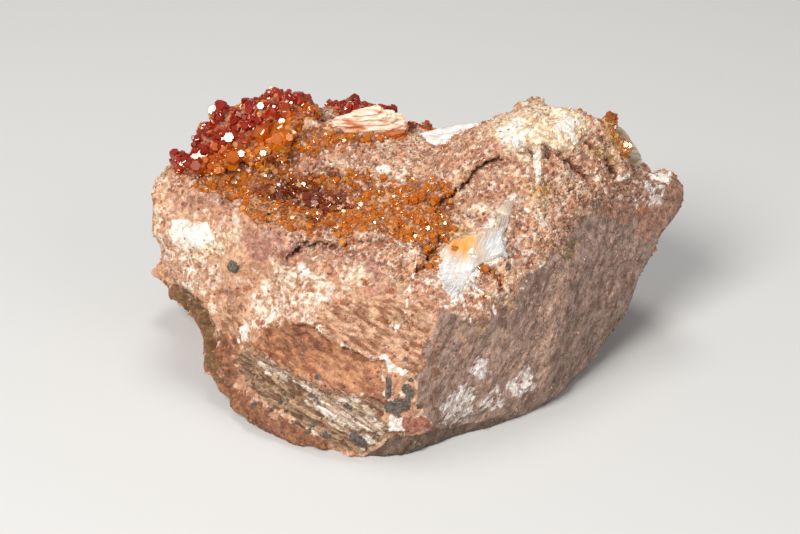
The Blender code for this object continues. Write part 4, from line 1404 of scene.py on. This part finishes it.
@dataclass
class CrystalCrust:
    """One crust of crystals, on a bed that follows the rock."""

    node: str
    slot: Slot
    finish: Vanadinite
    growth: CrystalGrowth
    # Where the crust's colour turns from deep to warm, along a way, and the smallest crystals' share of size.
    warm_way: Point = (0.0, -0.5, -0.85)
    warm_from: float = -36.5
    warm_to: float = -28.0
    # The dark middle of a crust, as a path in mm; the warm turn is then measured out from it.
    heart: tuple[Point, ...] = ()
    # How patchy the crust is: below 0.5 it breaks up, and the bed shows. How high its bed is lumped, in mm.
    cover: float = 1.0
    relief: float = 0.3
    cell: float = 0.4
    rounding: int = 12

    def bed(self) -> Skin:
        """The crust's bed, with the CAD's large crystals melted into lumps."""
        return evened(node_solid(self.node), self.cell, self.rounding)

    def build(self, rock: BVHTree) -> bpy.types.Object:
        """Grows the crust and dresses it.

        Args:
            rock: The CAD rock's skin, which tells the bed's hidden side.

        Returns:
            The finished piece.
        """
        bed = self.bed()
        clear = np.array([rock.find_nearest(Vector(point))[3] for point in bed.points])
        lumps = rough_waves(bed.points / 3.0, 501, 2)
        bed.points += bed.normals() * (self.relief * lumps * eased(clear / 0.8))[:, None]
        if self.heart:
            reach = path_distance(bed.points, np.array(self.heart) + SHIFT)
            warmth = eased((reach + 1.2 * lumps - self.warm_from) / (self.warm_to - self.warm_from))
        else:
            along = bed.points @ np.array(self.warm_way)
            warmth = np.clip((along - self.warm_from) / (self.warm_to - self.warm_from), 0.0, 1.0)
        marks = {
            "growth": eased((clear - 0.3) / 0.2) * eased(self.cover + 0.8 * lumps),
            "size": (
                np.clip(0.9 + 0.45 * lumps, 0.45, 1.3) * (0.5 + 0.5 * eased((clear - 0.4) / 1.3))
                * (1.0 + (0.4 * (1.0 - warmth) if self.heart else 0.0))),
            "warmth": warmth,
            "tone": np.full(len(bed.points), 0.5),
            "bed": np.ones(len(bed.points)),
        }
        piece = self.growth.grow(self.node + "_crystals", bed, marks, self.finish.material())
        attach(piece, "root")
        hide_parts(self.node)
        return piece


@dataclass
class ScatteredCrystals:
    """Small single crystals strewn over the rock between the crusts."""

    finish: Vanadinite
    growth: CrystalGrowth = CrystalGrowth(
        0.46, 0.3, 1.05, 0.6, 1.2, 0.9, 0.45, seed=71, keep_bed=False)

    def build(self, rock: MatrixRock) -> bpy.types.Object:
        """Strews the crystals over the rock's stained area.

        Args:
            rock: The built rock.

        Returns:
            The finished piece.
        """
        points = rock.skin.points
        swell = rough_waves(points / 2.6, 601, 3)
        share = rock.marks["orange"] * eased(0.78 + 1.1 * swell) + 0.9 * rock.marks["dark"]
        share *= (1.0 - 0.9 * rock.marks["hollow"]) * (1.0 - rock.marks["streak"]) * (points[:, 2] > 2.0)
        used, bed = rock.skin.part(share)
        marks = {
            "growth": np.clip(share[used], 0.0, 1.0),
            "size": np.clip(0.9 + 0.5 * swell[used], 0.5, 1.3),
            "warmth": np.clip(1.0 - 0.9 * rock.marks["dark"][used] - 0.3 * (swell[used] > 0.5), 0.0, 1.0),
            "tone": np.zeros(len(used)),
        }
        piece = self.growth.grow("vanadinite_scattered_crystals", bed, marks, self.finish.material())
        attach(piece, "root")
        return piece


@dataclass
class SugarGrains:
    """The rock's own grains that stand loose of its skin, as small blocky rhombs."""

    finish: SugaryRock
    growth: CrystalGrowth = CrystalGrowth(
        0.44, 0.20, 0.54, 0.7, 1.1, 1.3, 0.38, seed=91, sides=4, keep_bed=False)

    def build(self, rock: MatrixRock) -> bpy.types.Object:
        """Strews grains over the granular parts of the rock.

        Args:
            rock: The built rock.

        Returns:
            The finished piece.
        """
        points = rock.skin.points
        swell = rough_waves(points / 3.1, 611, 3)
        marks = rock.marks
        share = (1.0 - 0.9 * marks["smooth"]) * eased(0.55 + 0.9 * swell) * (points[:, 2] > 0.8)
        share *= (1.0 - 0.75 * marks["streak"]) * (1.0 - 0.9 * marks["ore"]) * (1.0 - 0.6 * marks["hollow"])
        share *= (1.0 - 0.6 * marks["white"]) * (1.0 - 0.7 * marks["calm"])
        used, bed = rock.skin.part(share)
        given = {mark: values[used] for mark, values in marks.items() if mark not in ("hollow", "smooth")}
        given |= {
            "growth": np.clip(share[used], 0.0, 1.0),
            "size": np.clip(0.95 + 0.4 * swell[used], 0.6, 1.3),
            "smooth": np.maximum(marks["smooth"][used], 0.2),
        }
        piece = self.growth.grow("matrix_sugar_grains", bed, given, self.finish.material())
        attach(piece, "root")
        return piece


# ---------------------------------------------------------------------------------------------------------
# Barite
# ---------------------------------------------------------------------------------------------------------


@dataclass(frozen=True)
class Plate:
    """One tapered plate: the middles of its two ends, its depth, thickness and turn about its length."""

    start: Point
    end: Point
    depth: float
    thickness: float
    tilt: float


@dataclass
class BladeStack:
    """Barite blades: each plate is a pack of thin leaves with ragged edges."""

    node: str
    slot: Slot
    finish: Barite
    plates: tuple[Plate, ...]
    leaves: int = 4
    seed: int = 5
    ragged: float = 0.08
    # How far a leaf slips out of its pack and how it warps, in mm, and its thickness over the leaves' spacing.
    slip: float = 0.24
    warp: float = 0.11
    overlap: float = 1.15
    # How much more stained the lowest plate is than the top one.
    soaked: float = 0.0
    shape: tuple[tuple[float, float], ...] = (
        (-1.0, 0.05), (-0.84, 0.55), (-0.4, 0.8), (0.1, 0.95), (0.6, 1.0), (0.93, 0.8), (1.0, 0.2),
        (0.95, -0.6), (0.6, -0.95), (0.0, -0.9), (-0.5, -0.8), (-0.9, -0.5))

    def leaf_tree(self, sizes: Sizes) -> bpy.types.NodeTree:
        """Builds the node tree that stacks copies of its input leaf.

        Args:
            sizes: The tree's inputs by name.

        Returns:
            The node tree.
        """
        tree = new_tree("leaf_stack", "Leaf", "Stack", sizes)
        add = partial(add_node, tree)
        given = add(Step.GIVEN).node.outputs
        line = add(Step.LINE, given["Leaves"], add(Step.XYZ, None, None, given["Step"]))
        ends = [add(Step.WAY_TIMES, (sign, 0.55 * sign, 0.0), given["Slip"]) for sign in (-1.0, 1.0)]
        slip = add(Step.CHANCE_WAY, *ends, given["Seed"])
        turn = add(Step.CHANCE_WAY, (-0.02, -0.02, -0.05), (0.02, 0.02, 0.05), given["Seed"])
        size = add(Step.CHANCE_WAY, (0.86, 0.78, 0.9), (1.02, 1.04, 1.1), given["Seed"])
        copies = add(Step.PLANTED, add(Step.SHIFTED, line, slip), given["Leaf"], turn, size)
        toned = add(Step.STORED, copies, "tone", add(Step.CHANCE, 0.0, 1.0, given["Seed"]))
        close_tree(tree, toned, given["Finish"])
        return tree

    def leaf(self, length: float, depth: float, thickness: float, rng: random.Random) -> bpy.types.Mesh:
        """One thin leaf with a ragged, thinning edge, flat in X and Y.

        Args:
            length: Its length in mm.
            depth: Its depth in mm.
            thickness: Its thickness in mm.
            rng: The random numbers to draw from.

        Returns:
            A closed mesh.
        """
        corners = []
        for (x1, y1), (x2, y2) in zip(self.shape, self.shape[1:] + self.shape[:1]):
            for step in range(4):
                share = step / 4.0
                fray = 1.0 + rng.uniform(-1.0, 1.0) * self.ragged / depth
                corners.append(((x1 + (x2 - x1) * share) * length / 2.0 * fray,
                                (y1 + (y2 - y1) * share) * depth / 2.0 * fray))
        shape = bmesh.new()
        rings = []
        for inward, rise in ((1.0, 0.0), (0.94, 0.5), (0.5, 0.62)):
            for side in (-1.0, 1.0):
                if rise == 0.0 and side > 0.0:
                    continue
                rings.append((side * rise, [
                    shape.verts.new((x * inward, y * inward, side * rise * thickness)) for x, y in corners]))
        rings.sort(key=lambda ring: ring[0])
        for (_, low), (_, high) in zip(rings, rings[1:]):
            for step in range(len(corners)):
                after = (step + 1) % len(corners)
                shape.faces.new((low[step], low[after], high[after], high[step]))
        for order in (0, -1):
            loop = rings[order][1]
            heart = shape.verts.new(sum((vert.co for vert in loop), Vector()) / len(loop))
            for step in range(len(loop)):
                shape.faces.new((loop[step], loop[(step + 1) % len(loop)], heart))
        bmesh.ops.recalc_face_normals(shape, faces=shape.faces[:])
        mesh = bpy.data.meshes.new("leaf")
        shape.to_mesh(mesh)
        shape.free()
        return mesh

    def build(self) -> bpy.types.Object:
        """Stacks the leaves of every plate and dresses them as one piece.

        Returns:
            The finished piece.
        """
        rng = random.Random(self.seed)
        finish = self.finish.material()
        joined = bmesh.new()
        for order, plate in enumerate(self.plates):
            start, end = Vector(plate.start), Vector(plate.end)
            along = (end - start).normalized()
            level = Vector((0.0, 0.0, 1.0)).cross(along).normalized()
            inward = Quaternion(along, math.radians(plate.tilt)) @ level
            thick = along.cross(inward).normalized()
            step = plate.thickness / self.leaves
            leaf = self.leaf((end - start).length, plate.depth, self.overlap * step, rng)
            sizes = {
                "Leaves": self.leaves, "Step": step, "Slip": self.slip, "Seed": self.seed + order,
                "Finish": finish}
            mesh = grown(leaf, self.leaf_tree(sizes), sizes)
            frame_of_plate = Matrix((along, inward, thick)).transposed().to_4x4()
            middle = (start + end) / 2.0 + Vector(SHIFT) - thick * (plate.thickness - step) / 2.0
            mesh.transform(Matrix.Translation(middle) @ frame_of_plate)
            stain = mesh.attributes.new("stain", "FLOAT", "POINT")
            share = 1.0 - order / max(1, len(self.plates) - 1)
            stain.data.foreach_set("value", [self.soaked * share * share] * len(mesh.vertices))
            joined.from_mesh(mesh)
        mesh = bpy.data.meshes.new(self.node + "_leaves")
        joined.to_mesh(mesh)
        joined.free()
        skin = Skin.of(mesh)
        warp = np.stack([rough_waves(skin.points / 2.4, 700 + axis, 2) for axis in range(3)], axis=1)
        warp += 0.35 * np.stack([rough_waves(skin.points / 0.8, 710 + axis, 2) for axis in range(3)], axis=1)
        moved = (skin.points + self.warp * warp) * MM
        mesh.vertices.foreach_set("co", moved.astype(np.float32).reshape(-1))
        mesh.materials.append(finish)
        mesh.update()
        piece = place_object(self.node + "_leaves", mesh)
        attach(piece, "root")
        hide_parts(self.node)
        return piece


@dataclass
class BariteSheaf:
    """The silky white sheaf: a soft bed with fibres that fan out from its foot."""

    finish: Barite
    waist: Point = (7.2, -13.6, 22.0)
    # The amber and the beige part, by the outlines that the camera sees, in pixels.
    amber: tuple[Pixel, ...] = (
        (443, 240), (448, 230), (462, 226), (475, 232), (477, 250), (463, 257), (447, 254))
    beige: tuple[Pixel, ...] = (
        (476, 244), (488, 240), (503, 224), (520, 208), (520, 184), (496, 186), (476, 222))
    cell: float = 0.28
    rounding: int = 5
    spacing: float = 0.30
    thinnest: float = 0.07
    thickest: float = 0.15
    shortest: float = 0.9
    longest: float = 2.6
    seed: int = 17

    def fibre_tree(self, sizes: Sizes) -> bpy.types.NodeTree:
        """Builds the node tree that lays fibres over its input mesh, away from a root.

        Args:
            sizes: The tree's inputs by name.

        Returns:
            The node tree.
        """
        tree = new_tree("fibre_fan", "Bed", "Sheaf", sizes)
        add = partial(add_node, tree)
        given = add(Step.GIVEN).node.outputs
        crowd = add(Step.NAMED, "growth")
        spread = add(Step.SPREAD, given["Bed"], given["Spacing"], 24.0, crowd, given["Seed"])
        fibre = add(Step.MOVED, add(Step.CONE, 5, 2, 0.12, 0.5, 1.0), (0.0, 0.0, -0.62))
        ahead = add(Step.WAY_UNIT, add(Step.WAY_MINUS, add(Step.POSITION), given["Root"]))
        lift = add(Step.WAY_TIMES, spread.node.outputs["Normal"], 0.05)
        stray = add(Step.CHANCE_WAY, (-0.10, -0.10, -0.05), (0.10, 0.10, 0.05), given["Seed"])
        laid = add(Step.UPRIGHT, add(Step.WAY_PLUS, add(Step.WAY_PLUS, ahead, lift), stray))
        width = add(Step.CHANCE, given["Thinnest"], given["Thickest"], given["Seed"])
        length = add(Step.CHANCE, given["Shortest"], given["Longest"], given["Seed"])
        copies = add(Step.PLANTED, spread, fibre, laid, add(Step.XYZ, width, width, length))
        joined = add(Step.JOINED, add(Step.STORED, copies, "tone", add(Step.CHANCE, 0.2, 1.0, given["Seed"])))
        tree.links.new(given["Bed"], joined.node.inputs[0])
        close_tree(tree, joined, given["Finish"])
        return tree

    def build(self, rock: BVHTree, sight: Sightline) -> bpy.types.Object:
        """Grows the sheaf and dresses it.

        Args:
            rock: The CAD rock's skin, which tells the bed's hidden side.
            sight: The camera, for the places of the amber and beige parts.

        Returns:
            The finished piece.
        """
        bed = evened(node_solid("barite_vein"), self.cell, self.rounding)
        clear = np.array([rock.find_nearest(Vector(point))[3] for point in bed.points])
        pixels = sight.pixels(bed.points)
        scale = sight.pixels_in_mm(bed.points)
        fray = rough_waves(bed.points / 0.9, 801, 2)

        amber = outlined(pixels, scale, self.amber, 1.4, 1.1 * fray)
        beige = outlined(pixels, scale, self.beige, 1.3, 1.1 * fray)
        rim = np.maximum(0.95 * beige, 1.0 - eased((clear - 0.25 + 0.25 * fray) / 0.7))
        marks = {
            "growth": eased((clear - 0.4) / 0.25) * (1.0 - 0.75 * amber), "tone": np.full(len(bed.points), 0.6),
            "amber": amber, "rim": 0.85 * rim}
        sizes = {
            "Spacing": self.spacing, "Thinnest": self.thinnest, "Thickest": self.thickest,
            "Shortest": self.shortest, "Longest": self.longest, "Root": Vector(self.waist) + Vector(SHIFT),
            "Seed": self.seed, "Finish": self.finish.material()}
        mesh = grown(bed.mesh("sheaf_bed", marks), self.fibre_tree(sizes), sizes)
        mesh.name = "barite_sheaf"
        mesh.polygons.foreach_set("use_smooth", [True] * len(mesh.polygons))
        mesh.transform(Matrix.Scale(MM, 4))
        piece = place_object("barite_sheaf", mesh)
        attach(piece, "root")
        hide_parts("barite_vein")
        return piece


# ---------------------------------------------------------------------------------------------------------
# Studio
# ---------------------------------------------------------------------------------------------------------


@dataclass(frozen=True)
class Lamp:
    """One soft box: its place and size in metres, its power and the place it looks at."""

    name: str
    place: Point
    size: float
    watts: float
    target: Point = (0.0, 0.0, 0.015)


@dataclass
class Studio:
    """The pale floor, the lamps and the soft surround."""

    floor_half: float = 1.5
    surround: float = 0.30
    lamps: tuple[Lamp, ...] = (
        Lamp("key_lamp", (-0.22, -0.34, 0.40), 0.27, 3.2),
        Lamp("fill_lamp", (0.38, -0.30, 0.30), 0.35, 0.5),
        Lamp("top_lamp", (-0.02, 0.18, 0.50), 0.20, 0.8),
    )

    def build(self) -> None:
        """Builds the floor, the lamps and the surround."""
        mesh = bpy.data.meshes.new("floor")
        half = self.floor_half
        mesh.from_pydata(
            [(-half, -half, 0.0), (half, -half, 0.0), (half, half, 0.0), (-half, half, 0.0)], [],
            [(0, 1, 2, 3)])
        mesh.materials.append(StudioPaper().material())
        place_object("floor", mesh)
        for lamp in self.lamps:
            data = bpy.data.lights.new(lamp.name, "AREA")
            data.shape = "DISK"
            data.size = lamp.size
            data.energy = lamp.watts
            light = bpy.data.objects.new(lamp.name, data)
            light.location = lamp.place
            aim = Vector(lamp.target) - Vector(lamp.place)
            light.rotation_euler = aim.to_track_quat("-Z", "Y").to_euler()
            bpy.context.scene.collection.objects.link(light)
        world = bpy.data.worlds.new("surround")
        world.use_nodes = True
        background = world.node_tree.nodes["Background"]
        background.inputs["Color"].default_value = colour("E9EDF2")
        background.inputs["Strength"].default_value = self.surround
        bpy.context.scene.world = world
        bpy.context.scene.view_settings.view_transform = "Standard"


# ---------------------------------------------------------------------------------------------------------
# The specimen
# ---------------------------------------------------------------------------------------------------------

RED = ("A41E06", "F27C16", "E8924A", "6E240E", "B8591C")
RIDGE = CrystalCrust(
    "vanadinite_ridge_crust", Slot.RED, Vanadinite("vanadinite_red_crystals", *RED),
    CrystalGrowth(0.46, 0.40, 1.7, 0.6, 1.2, 0.8, 0.46, seed=21), (0.54, -0.42, -0.73), -41.5, -36.0)
BASIN = CrystalCrust(
    "vanadinite_basin_crust", Slot.ORANGE,
    Vanadinite("vanadinite_brown_crystals", "843010", "DE7418", "E6A862", "743616", "C88C58"),
    CrystalGrowth(0.42, 0.4, 1.3, 0.6, 1.2, 0.9, 0.42, seed=22), warm_from=1.0, warm_to=6.0,
    heart=((-21.3, 2.5, 24.8), (-16.9, 2.9, 23.2), (-11.9, 3.2, 22.5)), cover=1.0)
BACK = CrystalCrust(
    "vanadinite_back_crust", Slot.ORANGE, Vanadinite("vanadinite_orange_crystals", *RED),
    CrystalGrowth(0.5, 0.45, 1.6, 0.6, 1.2, 0.7, 0.45, seed=23))
REAR = CrystalCrust(
    "vanadinite_rear_crust", Slot.RED, Vanadinite("vanadinite_rear_crystals", *RED),
    CrystalGrowth(0.5, 0.45, 1.6, 0.6, 1.2, 0.7, 0.45, seed=24))
RIGHT = CrystalCrust(
    "vanadinite_right_cluster", Slot.ORANGE,
    Vanadinite("vanadinite_amber_crystals", "A65214", "C67828", "D49A50", "9C682E", "C8A06A"),
    CrystalGrowth(0.5, 0.55, 1.35, 0.6, 1.0, 0.7, 0.5, seed=25))

FAN = BladeStack(
    "barite_blade_fan", Slot.CREAM,
    Barite("bladed_cream_barite", "E9BE95", "FFEAD4", "C4642A", 0.48, 0.34, 0.32),
    (Plate((-15.4, 15.7, 27.8), (-2.0, 16.9, 27.9), 3.0, 0.8, 40.0),
     Plate((-14.9, 16.0, 28.4), (-1.6, 17.2, 28.6), 3.2, 0.8, 38.0),
     Plate((-14.2, 16.3, 29.0), (-1.9, 17.5, 29.2), 3.2, 0.8, 36.0),
     Plate((-13.0, 16.7, 29.6), (-2.8, 17.8, 29.8), 2.8, 0.8, 34.0),
     Plate((-11.6, 17.1, 30.1), (-3.8, 18.0, 30.4), 2.4, 0.8, 32.0),
     Plate((-10.0, 17.4, 30.6), (-5.0, 18.2, 30.9), 1.8, 0.7, 30.0)), soaked=1.0)
REAR_BLADE = BladeStack(
    "barite_rear_blade", Slot.WHITE,
    Barite("bladed_white_barite", "CDC0B4", "EFE6DE", "DDB898", 0.25, 0.4, 0.34),
    (Plate((-1.8, 17.9, 25.7), (9.4, 17.7, 27.3), 3.2, 1.0, 48.0),
     Plate((0.4, 18.2, 26.5), (9.6, 18.0, 28.0), 2.8, 0.9, 44.0)), seed=8)
RIGHT_BLADE = BladeStack(
    "barite_right_blade", Slot.WHITE,
    Barite("glassy_white_barite", "D6B083", "F6EEDF", "C98A4C", 0.42, 0.6, 0.28, edge="F4EFE6",
           clearness=0.25),
    (Plate((28.0, 11.2, 31.6), (31.7, 11.2, 24.8), 4.2, 0.9, 72.0),
     Plate((28.2, 11.9, 31.2), (31.0, 12.0, 25.8), 3.4, 0.8, 66.0)), leaves=3, seed=9)

STREWN = ScatteredCrystals(Vanadinite("vanadinite_strewn_crystals", "80350F", "DC7A1A", "E2A050"))
SHEAF = BariteSheaf(
    Barite("silky_white_barite", "D0CCC7", "F2F0EE", "E6CAA4", 0.22, 0.26, 0.42, run=(0.40, 0.76, 0.52)))


def report(piece: bpy.types.Object) -> None:
    """Logs a finished piece's name and triangle count."""
    piece.data.calc_loop_triangles()
    LOG.info("%s: %d triangles", piece.name, len(piece.data.loop_triangles))


def main() -> None:
    """Builds every piece of the specimen in order, then the studio round it."""
    logging.basicConfig(level=logging.INFO, format="%(name)s %(message)s")
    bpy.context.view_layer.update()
    sight = Sightline()
    sight.set_up()
    cad_rock = node_solid("matrix").tree()
    crusts = (RIDGE, BASIN, BACK, REAR, RIGHT)
    rock = MatrixRock(sight)
    beds = [crust.bed().tree() for crust in crusts] + [node_solid("barite_vein").tree()]
    report(rock.build(beds))
    for crust in crusts:
        report(crust.build(cad_rock))
    report(STREWN.build(rock))
    report(SugarGrains(rock.finish).build(rock))
    for blade in (FAN, REAR_BLADE, RIGHT_BLADE):
        report(blade.build())
    report(SHEAF.build(cad_rock, sight))
    Studio().build()


if __name__ == "__main__":
    main()
